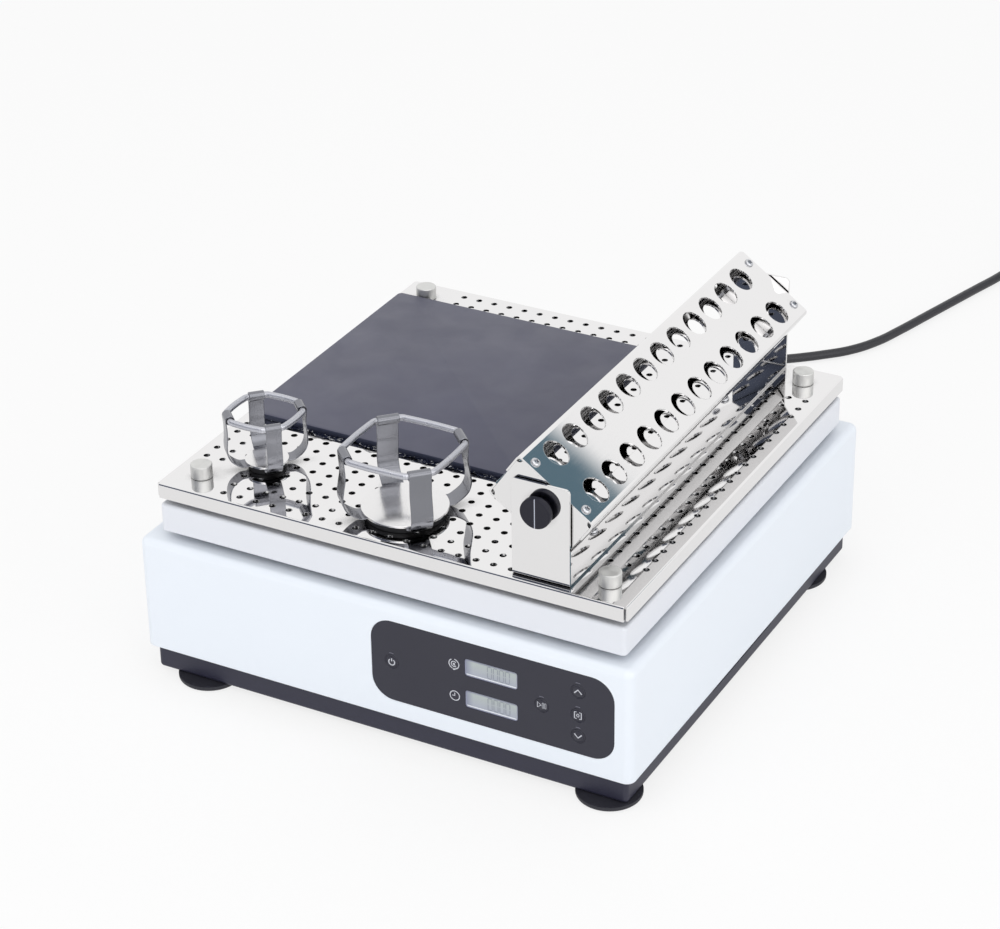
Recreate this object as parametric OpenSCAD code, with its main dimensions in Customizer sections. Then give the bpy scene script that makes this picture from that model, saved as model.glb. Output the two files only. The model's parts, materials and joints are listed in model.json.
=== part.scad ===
// Benchtop orbital shaker with a perforated tray, flask clamps and a tilting tube rack.
// Frame: +X right, +Y back, +Z up, origin on the bench under the middle of the housing.

/* [Housing] */
// Width of the housing, left to right
housing_w = 350; // [340:1:420]
// Depth of the housing, front to back
housing_d = 350; // [340:1:420]
// Height of the painted cover alone
cover_h = 80; // [70:1:100]
// Sheet thickness of the cover walls
cover_wall = 2.5; // [2:0.1:4]
// Radius of the upright corners
corner_r = 6; // [5.5:0.5:12]
// Radius along the top edges
edge_r = 5; // [3:0.5:5]
// Height of the dark base pan
pan_h = 18.5; // [15:0.5:24]
// How far the pan is set in at the sides
pan_inset_x = 5; // [3:0.5:8]
// How far the pan is set in at the front and the back
pan_inset_y = 5; // [3:0.5:8]
// Length of the hand grip in each side of the pan
grip_len = 91; // [70:1:110]

/* [Feet] */
// Diameter of the rubber feet
foot_d = 42; // [30:1:46]
// Height of the rubber feet
foot_h = 3.5; // [3.5:0.5:8]
// Left foot centre to the left side of the housing
foot_in_left = 38; // [26:0.5:45]
// Right foot centre to the right side of the housing
foot_in_right = 22.5; // [20:0.5:40]
// Front foot centre to the front of the housing
foot_in_front = 16; // [15:0.5:40]
// Rear foot centre to the back of the housing
foot_in_rear = 48; // [20:0.5:70]

/* [Control panel] */
// Width of the control panel
panel_w = 167.5; // [160:0.5:175]
// Corner radius of the control panel
panel_r = 15; // [6:0.5:18]
// Panel edge to the right side of the housing
panel_in = 11.5; // [8:0.5:20]
// Width of each display window
lcd_w = 36; // [30:1:40]
// Height of each display window
lcd_h = 12; // [9:0.5:14]
// Diameter of the keys
key_d = 9.5; // [7:0.5:12]
// Travel of the keys
key_travel = 0.5; // [0.3:0.1:0.8]

/* [Orbit] */
// Radius of the orbit
orbit_r = 5; // [3:0.5:8]
// Diameter of the drive shaft
shaft_d = 15; // [12:0.5:16]
// Diameter of the drive pin
drive_pin_d = 12; // [8:0.5:14]
// Diameter of the four idler pins
idler_pin_d = 10; // [6:0.5:12]
// Idler distance from the middle, in X and in Y
idler_xy = 105; // [90:1:110]
// Diameter of the driven pulley
pulley_d = 80; // [60:1:84]
// Diameter of the motor pulley
motor_pulley_d = 30; // [20:1:40]
// Diameter of the motor
motor_d = 76; // [60:1:80]

/* [Table and tray] */
// Width and depth of the tray
tray_w = 330; // [320:1:420]
// Height of the moving table under the tray
table_h = 19; // [15:0.5:26]
// Gap between the housing and the table
table_gap = 6; // [4:0.5:10]
// Height of the spacers between the table and the tray sheet
spacer_h = 13.5; // [11.5:0.5:20]
// Height of the tray's folded rim
rim_h = 10; // [6:0.5:11]
// Sheet thickness of the tray and of the rack frame
sheet_t = 1.5; // [1:0.1:2]
// Hole pitch of the tray
hole_pitch = 12; // [11:0.5:16]
// Diameter of the tray holes
hole_d = 4.3; // [4.2:0.1:4.6]
// Diameter of the thumb screw caps
thumb_d = 14; // [10:0.5:14]
// Height of the thumb screw caps
thumb_h = 9; // [6:0.5:12]
// Thickness of the mat
mat_t = 4; // [2:0.5:6]

/* [Clamps] */
// Disc diameter of the large clamp
large_disc_d = 55; // [48:1:58]
// Strap width of the large clamp
large_strap_w = 14; // [10:0.5:14]
// Disc diameter of the small clamp
small_disc_d = 28; // [26:1:32]
// Strap width of the small clamp
small_strap_w = 10; // [8:0.5:11]
// Thickness of the spring straps
strap_t = 0.8; // [0.6:0.1:1]
// Diameter of the ring springs
ring_d = 4.2; // [3:0.2:4.2]

/* [Tube rack] */
// Width of the rack's top sheet
rack_w = 60.6; // [58:0.2:64]
// Depth of the rack, top sheet to bottom sheet
rack_depth = 36.5; // [30:0.5:40]
// Tilt of the rack as it stands
rack_tilt = 35; // [0:1:60]
// Diameter of the tube holes
tube_d = 18; // [12:0.5:19]
// Pitch of the tube holes along the rack
tube_pitch = 24; // [20.5:0.5:25]
// Distance between the two rows
row_gap = 32; // [28:0.5:34]
// Width of the rack frame
frame_w = 38.5; // [30:0.5:44]
// Height of the rack frame above the tray
frame_h = 66; // [60:1:80]
// Height of the rack's pivot above the tray
pivot_h = 49.5; // [44:0.5:54]
// Diameter of the rack knobs
knob_d = 20; // [16:0.5:26]

/* [Mains cord] */
// Diameter of the cord
cord_d = 7; // [6:0.5:8]
// Mean diameter of the stowed coil
coil_d = 80; // [70:1:84]

/* [Hidden] */
$fn = 64;

// Running clearance of a shaft in its bore, on the radius
run = 0.05;
// Clearance of a loose part in its cut-out, on each side
loose = 0.1;
eps = 1;

// Heights above the bench
pan_z = foot_h;
cover_z = pan_z + pan_h;
top_z = cover_z + cover_h;
table_z = top_z + table_gap;
deck_z = table_z + table_h;
sheet_z = deck_z + spacer_h;
tray_z = sheet_z + sheet_t;

// Base pan
pan_w = housing_w - 2 * pan_inset_x;
pan_d = housing_d - 2 * pan_inset_y;
pan_wall = 2.5;
pan_corner_r = 3;
pan_edge_r = 2.5;
grip_deep = 14;
grip_sill = pan_h - 9.2;
grip_y = -1.5;
chassis_t = 4;
chassis_gap = 2;
chassis_z = cover_z + chassis_gap;
chassis_top = chassis_z + chassis_t;
chassis_w = housing_w - 2 * cover_wall - 25;
chassis_d = housing_d - 2 * cover_wall - 25;
boss_d = 14;
boss_in = 20;
rim_t = 2;
foot_left = foot_in_left - housing_w / 2;
foot_right = housing_w / 2 - foot_in_right;
foot_front = foot_in_front - housing_d / 2;
foot_rear = housing_d / 2 - foot_in_rear;
foot_places = [[foot_left, foot_front], [foot_right, foot_front], [foot_left, foot_rear],
    [foot_right, foot_rear]];
foot_screw_d = 4;
// Rubber left under the head of a foot screw
foot_seat = 1.5;

// Front panel, from the right side of the housing
front_y = -housing_d / 2;
rear_y = housing_d / 2;
panel_t = 0.8;
panel_h = cover_h - 22.4;
panel_x = housing_w / 2 - panel_in - panel_w / 2;
panel_z = cover_z + 12.4 + panel_h / 2;
panel_left = panel_x - panel_w / 2;
lcd_x = panel_left + 84;
lcd_rise = [10.6, -12.2];
key_places = [[panel_left + 14.3, panel_z - 0.7], [panel_left + 118.6, panel_z - 1.3],
    [panel_left + 143.2, panel_z + 15.8], [panel_left + 143.1, panel_z - 1.2],
    [panel_left + 143.2, panel_z - 16.1]];
key_flange_d = key_d + 2.5;
key_stem_d = 4;
board_t = 1.6;
board_y = front_y + 11.6;
board_w = panel_w - 3.5;
board_h = panel_h - 11.6;
switch_h = 3.5;
plunger_h = 0.5;

// Drive
orbit = orbit_r * [0.6, -0.8];
idlers = [[idler_xy, idler_xy], [-idler_xy, idler_xy], [-idler_xy, -idler_xy], [idler_xy, -idler_xy]];
top_t = 3;
disc_top = top_z - 12;
disc_t = 6;
crank_disc_d = 50;
weight_t = 8;
weight_r = 45;
pulley_h = 14;
pulley_top = disc_top - disc_t - weight_t - 2;
housing_top = pulley_top - pulley_h - 2;
flange_d = 90;
flange_t = 6;
bearing_w = 7;
main_bearing_d = 32;
motor_place = [-90, 30];
motor_shaft_d = 8;
belt_t = 2;
belt_h = 10;
belt_gap = 0.3;
post_top = top_z - 14;
post_d = 34;
idler_shaft_d = 12;
idler_disc_d = 30;
idler_disc_t = 4;
pin_top = deck_z - 7;
hub_d = 36;
hub_bearing_d = 24;
hub_bearing_w = 8;

// Tray and what stands on it, measured from the middle of the tray
edge_keep = 9;
seam = 0.6;
hole_n = floor((tray_w / 2 - edge_keep) / hole_pitch);
thumb_at = (hole_n - 1) * hole_pitch;
thumbs = [[thumb_at, thumb_at], [-thumb_at, thumb_at], [-thumb_at, -thumb_at], [thumb_at, -thumb_at]];
thumb_shank_d = 6;
table_w = tray_w - 2;
table_wall = 3;
rack_x = min(tray_w / 2 - 59, thumb_at - thumb_d / 2 - frame_w / 2 - 1);
mat_x = [-thumb_at - 17, rack_x - frame_w / 2 - 48];
mat_y = [-thumb_at + 82, thumb_at - thumb_d / 2 - 1];
screw_d = 4;
screw_head_d = 7;
screw_head_h = 2.4;
nut_h = 3.2;
large_at = [-hole_pitch / 2, -(hole_n - 2.5) * hole_pitch];
small_at = [-(hole_n - 3.5) * hole_pitch, -(hole_n - 3.5) * hole_pitch];
base_t = 3.7;
disc_plate_t = 1.5;
strap_z = base_t + strap_t / 2;
disc_z = base_t + strap_t;
loop_t = 0.7;
ring_bend = 5;
ring_bow = 0.6;
loop_r = ring_d / 2 + 0.3 + loop_t;
// Strap centre lines, as radius from the clamp's axis and height above the tray
large_r = large_disc_d / 2;
large_ring_at = [large_r + 9.3, 46.5];
large_line = [[large_r + 0.5, strap_z], [large_r + 3, strap_z + 0.5], [large_r + 8.8, 8.5],
    [large_r + 12, 12.5], [large_r + 13.3, 18.5], [large_r + 12.4, 26], [large_r + 11.3, 34],
    [large_ring_at.x + loop_r - loop_t / 2, large_ring_at.y]];
small_r = small_disc_d / 2;
small_ring_at = [small_r + 9.2, 38.5];
small_line = [[small_r + 0.5, strap_z], [small_r + 4, strap_z + 0.6], [small_r + 9, 8.5],
    [small_r + 11.4, 13], [small_r + 12, 18.5], [small_r + 11.6, 24], [small_r + 11.4, 31],
    [small_ring_at.x + loop_r - loop_t / 2, small_ring_at.y]];

// Tube rack, in its own frame: origin on the pivot, +Z out of the top sheet
rack_t = 1.2;
rack_bend = 3;
frame_len = tray_w - 10;
rack_play = 1;
rack_len = frame_len - 2 * sheet_t - 2 * rack_play;
rack_top_z = 16.5;
rack_low_z = rack_top_z - rack_depth;
rack_flange = 15;
low_flange = 9;
well_d = tube_d - 4;
end_flange = 12;
tube_keep = 14;
tube_count = floor((rack_len - 2 * tube_keep - tube_d) / tube_pitch) + 1;
rack_screw_x = row_gap / 2 + 4.2;
rack_screw_in = 5.5;
rack_screw_d = 3;
rack_head_d = 6;
rack_head_h = 1.8;
stud_d = 8;
pivot_z = tray_z + pivot_h;
knob_hub_d = 12;
knob_hub_h = 3;
knob_head_h = 4.5;

// Rear of the housing
gland_x = -67;
gland_z = 45;
gland_thread_d = 14;
gland_len = 31;
switch_x = -112;
switch_cut = [20, 13.2];
rocker_w = 15;
rocker_h = 9;
rocker_play = 0.3;
rocker_rest = 8;
rocker_pin_d = 2.4;
rocker_pin_len = rocker_w + 2.6;

// Cord, coil and plug on the bench
cord_z = cord_d / 2 + 0.05;
coil_z = 1.3;
lead_z = coil_z + cord_d / 2;
cord_route = [[gland_x, rear_y + gland_len + 5, gland_z], [-67, 220, 44], [-67, 230, 40.2], [-66.5, 241, 32],
    [-66, 252, 21.5], [-65, 263, 12], [-62.5, 276, 5.8], [-59, 292, cord_z], [-52, 315, cord_z],
    [-39, 345, cord_z], [-21, 375, cord_z], [3, 404, cord_z], [25, 421, cord_z], [43, 437, cord_z],
    [58, 453, cord_z], [71, 476, cord_z], [80, 503, cord_z], [89, 535, cord_z], [98, 567, cord_z],
    [107, 599, cord_z], [115, 627, cord_z], [122, 658, cord_z + 0.4],
    [125, 673, lead_z], [125, 684, lead_z]];
coil_side = 2 * cord_d;
coil_h = 3 * cord_d;
tail_z = coil_z + coil_h - cord_d / 2;
coil_lead = 28;
strand_r = coil_d / 2 + cord_d / 2;
coil_at = [125 + strand_r, 690 + coil_lead];
plug_z = 16.6;
plug_d = 38;
plug_face = 15;
plug_grip = 26;
plug_relief = 12;
pin_len = 19;
pin_gap = 19;
tail_at = [coil_at.x + strand_r, coil_at.y - coil_lead];
tail_route = [[tail_at.x, tail_at.y - 2, tail_z], [tail_at.x, tail_at.y - 12, tail_z - 0.6],
    [tail_at.x, tail_at.y - 26, plug_z + 0.5], [tail_at.x, tail_at.y - 36, plug_z]];
plug_at = [tail_at.x, tail_at.y - 38, plug_z];

// ---------- helpers ----------
module rrect(w, d, r) {
    square([w - 2 * r, d], center = true);
    square([w, d - 2 * r], center = true);
    for (x = [-1, 1], y = [-1, 1]) translate([x * (w / 2 - r), y * (d / 2 - r)]) circle(r);
}

// Block on z = 0 with upright corners rc and its top edges rounded by re
module soft_block(w, d, h, rc, re) {
    linear_extrude(h - re) rrect(w, d, rc);
    translate([0, 0, h - re]) {
        linear_extrude(re) {
            square([w - 2 * rc, d - 2 * re], center = true);
            square([w - 2 * re, d - 2 * rc], center = true);
        }
        for (s = [-1, 1]) {
            translate([0, s * (d / 2 - re), 0]) rotate([0, 90, 0])
                cylinder(r = re, h = w - 2 * rc, center = true);
            translate([s * (w / 2 - re), 0, 0]) rotate([90, 0, 0])
                cylinder(r = re, h = d - 2 * rc, center = true);
        }
        for (x = [-1, 1], y = [-1, 1]) translate([x * (w / 2 - rc), y * (d / 2 - rc), 0])
            rotate_extrude() intersection() {
                union() {
                    translate([rc - re, 0]) circle(re);
                    square([rc - re + 0.001, re]);
                }
                square([rc, re]);
            }
    }
}

// Plate standing in the XZ plane from y0 to y1, drawn from a flat outline
module upright(x, z, y0, y1) {
    translate([x, y1, z]) rotate([90, 0, 0]) linear_extrude(y1 - y0) children();
}

module rod(x, z, y0, y1, d) {
    translate([x, y1, z]) rotate([90, 0, 0]) cylinder(d = d, h = y1 - y0);
}

module post(p, z0, z1, d) {
    translate([p.x, p.y, z0]) cylinder(d = d, h = z1 - z0);
}

module on_table() {
    translate([orbit.x, orbit.y, 0]) children();
}

function bend(a, b, c, d, t) = let (u = 1 - t)
    0.5 * ((2 * b) + (c - a) * t + (2 * a - 5 * b + 4 * c - d) * t * t
    + (3 * b - a - 3 * c + d) * t * t * t);
function smooth(p, n) = let (m = len(p) - 1) [for (i = [0 : m - 1], k = [0 : n - 1])
    bend(p[max(i - 1, 0)], p[i], p[i + 1], p[min(i + 2, m)], k / n), p[m]];
function unit(v) = v / norm(v);
function heading(p, i) = unit(p[min(i + 1, len(p) - 1)] - p[max(i - 1, 0)]);

// Outline of a bent strip of thickness t along a flat line of points
function strip(p, t) = let (m = len(p) - 1) concat(
    [for (i = [0 : m]) let (h = heading(p, i)) p[i] + t / 2 * [-h.y, h.x]],
    [for (i = [m : -1 : 0]) let (h = heading(p, i)) p[i] - t / 2 * [-h.y, h.x]]);

// Round tube of radius r swept along points, closed at both ends
module tube(p, r, sides) {
    m = len(p) - 1;
    pts = [for (i = [0 : m], k = [0 : sides - 1])
        let (h = heading(p, i), s = unit(cross(h, [0, 0, 1])), u = cross(s, h), a = 360 * k / sides)
        p[i] + r * (cos(a) * s + sin(a) * u)];
    polyhedron(pts, concat([[for (k = [0 : sides - 1]) k]],
        [for (i = [0 : m - 1], k = [0 : sides - 1]) let (q = (k + 1) % sides)
            [i * sides + k, (i + 1) * sides + k, (i + 1) * sides + q, i * sides + q]],
        [[for (k = [sides - 1 : -1 : 0]) m * sides + k]]));
}

// The same tube along a flat closed line
module loop_tube(p, r, sides) {
    n = len(p);
    pts = [for (i = [0 : n - 1], k = [0 : sides - 1])
        let (h = unit(p[(i + 1) % n] - p[(i + n - 1) % n]), a = 360 * k / sides)
        [p[i].x + r * cos(a) * h.y, p[i].y - r * cos(a) * h.x, r * sin(a)]];
    polyhedron(pts, [for (i = [0 : n - 1], k = [0 : sides - 1]) let (j = (i + 1) % n, q = (k + 1) % sides)
        [i * sides + k, i * sides + q, j * sides + q, j * sides + k]]);
}

// ---------- housing ----------
module housing_cover() {
    color("#e6ebf1") difference() {
        union() {
            difference() {
                translate([0, 0, cover_z]) soft_block(housing_w, housing_d, cover_h, corner_r, edge_r);
                translate([0, 0, cover_z - eps]) linear_extrude(cover_h - top_t + eps)
                    rrect(housing_w - 2 * cover_wall, housing_d - 2 * cover_wall, corner_r - cover_wall);
            }
            // stand-offs that carry the control board
            for (x = [-1, 1], z = [-1, 1])
                rod(panel_x + x * (board_w / 2 - 4), panel_z + z * (board_h / 2 - 4),
                    front_y + cover_wall - 0.5, board_y, 6);
        }
        post([0, 0], top_z - 2 * top_t, top_z + eps, drive_pin_d + 2 * orbit_r + 6);
        for (p = idlers) post(p, top_z - 2 * top_t, top_z + eps, idler_pin_d + 2 * orbit_r + 6);
        upright(panel_x, panel_z, front_y - eps, front_y + panel_t)
            rrect(panel_w + 2 * loose, panel_h + 2 * loose, panel_r + loose);
        for (z = lcd_rise) upright(lcd_x, panel_z + z, front_y - eps, front_y + cover_wall + eps)
            rrect(lcd_w + 1, lcd_h + 1, 1.5);
        for (k = key_places) rod(k.x, k.y, front_y - eps, front_y + cover_wall + eps, key_flange_d + 1);
        rod(gland_x, gland_z, rear_y - cover_wall - eps, rear_y + eps, gland_thread_d + 2 * loose);
        upright(switch_x, gland_z, rear_y - cover_wall - eps, rear_y + eps)
            square(switch_cut, center = true);
        // ventilation slots in the back
        for (i = [0 : 9]) upright(30 + 9 * i, panel_z, rear_y - cover_wall - eps, rear_y + eps)
            rrect(3, panel_h * 0.6, 1.4);
    }
}

module base_pan() {
    color("#3c3c48") difference() {
        union() {
            difference() {
                translate([0, 0, cover_z]) mirror([0, 0, 1]) soft_block(pan_w, pan_d, pan_h, pan_corner_r, pan_edge_r);
                translate([0, 0, pan_z + pan_wall]) linear_extrude(pan_h)
                    rrect(pan_w - 2 * pan_wall, pan_d - 2 * pan_wall, corner_r - pan_wall);
            }
            // rim that the cover stands around
            translate([0, 0, cover_z - 0.5]) linear_extrude(rim_t + 0.5) difference() {
                rrect(pan_w, pan_d, corner_r);
                rrect(pan_w - 4 * pan_wall, pan_d - 4 * pan_wall, corner_r - pan_wall);
            }
            translate([0, 0, cover_z]) linear_extrude(rim_t) difference() {
                rrect(housing_w - 2 * cover_wall - 2 * loose, housing_d - 2 * cover_wall - 2 * loose,
                    corner_r - cover_wall);
                rrect(pan_w - 4 * pan_wall, pan_d - 4 * pan_wall, corner_r - pan_wall);
            }
            // walls around the hand grips
            for (s = [-1, 1]) translate([s * (pan_w / 2 - (grip_deep + 2 * pan_wall) / 2), grip_y, pan_z + 1])
                linear_extrude(pan_h - 1) square([grip_deep, grip_len + 2 * pan_wall], center = true);
            // bosses under the chassis plate
            for (x = [-1, 1], y = [-1, 1])
                post([x * (chassis_w / 2 - boss_in), y * (chassis_d / 2 - boss_in)], pan_z + 1, chassis_z, boss_d);
        }
        for (s = [-1, 1]) translate([s * pan_w / 2, grip_y, pan_z + grip_sill])
            linear_extrude(pan_h - grip_sill - 0.8) rrect(2 * grip_deep, grip_len, 3);
        for (p = foot_places) post(p, pan_z - eps, pan_z + pan_wall + eps, foot_screw_d + 2 * run);
    }
}

module feet() {
    color("#1d1d20") for (p = foot_places) translate([p.x, p.y, 0]) difference() {
        rotate_extrude() difference() {
            square([foot_d / 2, foot_h]);
            difference() {
                translate([foot_d / 2 - 2, 0]) square([3, 2]);
                translate([foot_d / 2 - 2, 2]) circle(2);
            }
        }
        translate([0, 0, -eps]) cylinder(d = 12, h = foot_h - foot_seat + eps);
        cylinder(d = foot_screw_d + 2 * run, h = foot_h + eps);
    }
}

module foot_screws() {
    color("#9a9ca2") for (p = foot_places) {
        post(p, foot_h - foot_seat - 1.5, foot_h - foot_seat, 9);
        post(p, foot_h - foot_seat - 0.5, pan_z + pan_wall + 3, foot_screw_d);
        post(p, pan_z + pan_wall, pan_z + pan_wall + 3, 8);
    }
}

module chassis_plate() {
    color("#b9bcc2") difference() {
        translate([0, 0, chassis_z]) linear_extrude(chassis_t) rrect(chassis_w, chassis_d, 6);
        post([0, 0], chassis_z - eps, chassis_top + eps, 24);
        for (x = [-0.6, 0.6]) translate([x * chassis_w / 2, -chassis_d * 0.3, chassis_z - eps])
            cylinder(d = 30, h = chassis_t + 2 * eps);
    }
}

// ---------- front panel ----------
module control_panel() {
    color("#3e3e4c") difference() {
        upright(panel_x, panel_z, front_y, front_y + panel_t) rrect(panel_w, panel_h, panel_r);
        for (z = lcd_rise) upright(lcd_x, panel_z + z, front_y - eps, front_y + panel_t + eps)
            rrect(lcd_w + 2 * loose, lcd_h + 2 * loose, 1);
        for (k = key_places) rod(k.x, k.y, front_y - eps, front_y + panel_t + eps, key_d + 2 * loose);
    }
}

module lcd_modules() {
    color("#b7c3b4") for (z = lcd_rise) {
        upright(lcd_x, panel_z + z, front_y + 0.3, front_y + cover_wall + 0.5) rrect(lcd_w, lcd_h, 0.9);
        upright(lcd_x, panel_z + z, front_y + cover_wall + 0.4, board_y) square([lcd_w + 8, lcd_h + 6], center = true);
    }
}

module key_cap(i) {
    p = key_places[i];
    color("#4a4a58") difference() {
        union() {
            rod(p.x, p.y, front_y + 0.05, front_y + panel_t + 1, key_d);
            rod(p.x, p.y, front_y + panel_t + loose, front_y + panel_t + loose + 1, key_flange_d);
            rod(p.x, p.y, front_y + panel_t + 1, board_y - switch_h - plunger_h - key_travel - loose, key_stem_d);
        }
        // debossed ring
        difference() {
            rod(p.x, p.y, front_y - eps, front_y + 0.3, key_d - 1.2);
            rod(p.x, p.y, front_y - 2 * eps, front_y + 1, key_d - 2.4);
        }
    }
}

module control_board() {
    color("#2f6f4f") {
        upright(panel_x, panel_z, board_y, board_y + board_t) square([board_w, board_h], center = true);
        for (k = key_places) {
            upright(k.x, k.y, board_y - switch_h, board_y) square([6, 6], center = true);
            rod(k.x, k.y, board_y - switch_h - plunger_h, board_y - switch_h, 3.5);
        }
    }
}

// ---------- drive ----------
module power_supply() {
    color("#c4c7cc") translate([-55, idler_xy, chassis_top]) difference() {
        cube([110, 40, 32]);
        for (i = [0 : 5]) translate([12 + 16 * i, -eps, 22]) cube([6, 42, 4]);
    }
}

module drive_motor() {
    color("#6a6d74") difference() {
        union() {
            post(motor_place, chassis_top, housing_top - 3, motor_d);
            post(motor_place, housing_top - 4, housing_top - 1, 22);
        }
        post(motor_place, chassis_top + 6, housing_top + eps, motor_shaft_d + 2 * run);
    }
}

module belt_pulley(d, h, rim) {
    difference() {
        union() {
            cylinder(d = d, h = h);
            cylinder(d = d + 2 * rim, h = 1.6);
            translate([0, 0, h - 1.6]) cylinder(d = d + 2 * rim, h = 1.6);
        }
    }
}

module motor_pulley() {
    color("#a9acb2") translate([motor_place.x, motor_place.y, 0]) {
        translate([0, 0, pulley_top - pulley_h]) belt_pulley(motor_pulley_d, pulley_h, 2.4);
        translate([0, 0, chassis_top + 8]) cylinder(d = motor_shaft_d, h = pulley_top - chassis_top - 6);
    }
}

module drive_pulley() {
    color("#b4b7bc") difference() {
        translate([0, 0, pulley_top - pulley_h]) belt_pulley(pulley_d, pulley_h, 2.4);
        post([0, 0], pulley_top - pulley_h - eps, pulley_top + eps, shaft_d + 2 * run);
        for (a = [0 : 60 : 300]) rotate(a) post([(pulley_d + shaft_d) / 4 + 2, 0],
            pulley_top - pulley_h - eps, pulley_top + eps, 15);
    }
}

// Outline around two pulleys of radii a and b, the second one at c
function belt_line(a, b, c) = let (n = norm(c), f = acos((a - b) / n), to = atan2(c.y, c.x)) concat(
    [for (i = [0 : 40]) let (g = to + f + i * (360 - 2 * f) / 40) a * [cos(g), sin(g)]],
    [for (i = [0 : 20]) let (g = to - f + i * 2 * f / 20) c + b * [cos(g), sin(g)]]);

module drive_belt() {
    a = pulley_d / 2 + belt_gap;
    b = motor_pulley_d / 2 + belt_gap;
    color("#202022") translate([0, 0, pulley_top - (pulley_h + belt_h) / 2]) linear_extrude(belt_h) difference() {
        polygon(belt_line(a + belt_t, b + belt_t, motor_place));
        polygon(belt_line(a, b, motor_place));
    }
}

module drive_crank() {
    color("#8d9096") {
        post([0, 0], chassis_top + 4, disc_top - disc_t / 2, shaft_d);
        post([0, 0], disc_top - disc_t, disc_top, crank_disc_d);
        post(orbit, disc_top - disc_t / 2, pin_top, drive_pin_d);
    }
}

module counterweight() {
    color("#7b6f63") translate([0, 0, disc_top - disc_t - weight_t]) linear_extrude(weight_t) difference() {
        intersection() {
            circle(weight_r);
            polygon([[0, 0], 90 * [-0.6, 0.8] + 90 * [-0.8, -0.6], 130 * [-0.6, 0.8], 90 * [-0.6, 0.8] + 90 * [0.8, 0.6]]);
        }
        circle(shaft_d / 2 + 4);
    }
}

module bearing_housing() {
    color("#a3a6ac") difference() {
        union() {
            post([0, 0], chassis_top, chassis_top + flange_t, flange_d);
            post([0, 0], chassis_top, housing_top, main_bearing_d + 18);
        }
        post([0, 0], chassis_top + 0.8, housing_top + eps, main_bearing_d + 2 * run);
        post([0, 0], chassis_top - eps, chassis_top + eps, 24);
    }
}

module main_bearings() {
    color("#c9ccd1") for (z = [chassis_top + 1, housing_top - 1 - bearing_w])
        translate([0, 0, z]) difference() {
            cylinder(d = main_bearing_d, h = bearing_w);
            translate([0, 0, -eps]) cylinder(d = shaft_d + 2 * run, h = bearing_w + 2 * eps);
        }
}

module idler_posts() {
    color("#a3a6ac") for (p = idlers) difference() {
        union() {
            post(p, chassis_top, post_top, post_d);
            post(p, chassis_top, chassis_top + 4, post_d + 12);
        }
        post(p, chassis_top + 5, post_top + eps, idler_shaft_d + 2 * run);
    }
}

module idler_crank(i) {
    p = idlers[i];
    color("#8d9096") {
        post(p, chassis_top + 8, post_top + 3, idler_shaft_d);
        post(p, post_top + 2, post_top + 2 + idler_disc_t, idler_disc_d);
        post(p + orbit, post_top + 4, pin_top, idler_pin_d);
    }
}

// ---------- table and tray ----------
module table_plate() {
    color("#d4d9df") on_table() translate([0, 0, table_z]) difference() {
        union() {
            difference() {
                soft_block(table_w, table_w, table_h, 3, 2.2);
                translate([0, 0, -eps]) linear_extrude(table_h - table_wall + eps)
                    rrect(table_w - 2 * table_wall, table_w - 2 * table_wall, 2);
            }
            for (p = thumbs) post(p, table_h - table_wall - 8, table_h - 1, 13);
        }
        for (p = thumbs) post(p, -eps, table_h + eps, thumb_shank_d + 2 * run);
    }
}

module table_hubs() {
    color("#a3a6ac") on_table() for (p = concat([[0, 0]], idlers)) difference() {
        post(p, table_z, deck_z - table_wall, hub_d);
        post(p, table_z - eps, pin_top - 2, hub_bearing_d + 2 * run);
        post(p, pin_top - 3, pin_top + 2, hub_bearing_d - 8);
    }
}

module table_bearings() {
    color("#c9ccd1") on_table() for (i = [0 : 4]) let (p = i == 0 ? [0, 0] : idlers[i - 1],
        d = i == 0 ? drive_pin_d : idler_pin_d) difference() {
            post(p, pin_top - 2 - hub_bearing_w, pin_top - 2, hub_bearing_d);
            post(p, table_z - eps, pin_top, d + 2 * run);
        }
}

module tray_spacers() {
    color("#b9bcc2") on_table() for (p = thumbs) difference() {
        post(p, deck_z, sheet_z, thumb_d - 1);
        post(p, deck_z - eps, sheet_z + eps, thumb_shank_d + 2 * run);
    }
}

// True where the square grid has a hole: the 3 by 3 block at each corner is left out
function drilled(i, j) = !(abs(i) > hole_n - 3 && abs(j) > hole_n - 3);

module tray() {
    w = tray_w;
    t = sheet_t;
    color("#dfe1e4") on_table() translate([0, 0, sheet_z]) {
        linear_extrude(t) difference() {
            square(w - 2 * t, center = true);
            for (i = [-hole_n : hole_n], j = [-hole_n : hole_n]) if (drilled(i, j))
                translate(hole_pitch * [i, j]) circle(d = hole_d, $fn = 24);
            for (p = thumbs) translate(p) circle(d = thumb_shank_d + 2 * run);
        }
        // folded edges and rim, open at the corners
        for (a = [0 : 90 : 270]) rotate(a) {
            translate([w / 2 - t, 0, 0]) intersection() {
                rotate([90, 0, 0]) cylinder(r = t, h = w - 2 * t - 2 * seam, center = true);
                translate([0, -w, 0]) cube([t, 2 * w, t]);
            }
            translate([w / 2 - t, t + seam - w / 2, t - rim_h]) cube([t, w - 2 * t - 2 * seam, rim_h - t]);
        }
    }
}

module thumb_screw(i) {
    p = thumbs[i];
    color("#c9c8c4") on_table() translate([p.x, p.y, 0]) {
        translate([0, 0, tray_z]) rotate_extrude() {
            square([thumb_d / 2, thumb_h - 1.2]);
            square([thumb_d / 2 - 1.2, thumb_h]);
            translate([thumb_d / 2 - 1.2, thumb_h - 1.2]) circle(1.2);
        }
        translate([0, 0, table_z + table_h - table_wall - 7]) cylinder(d = thumb_shank_d, h = tray_z - deck_z + table_wall + 8);
    }
}

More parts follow.
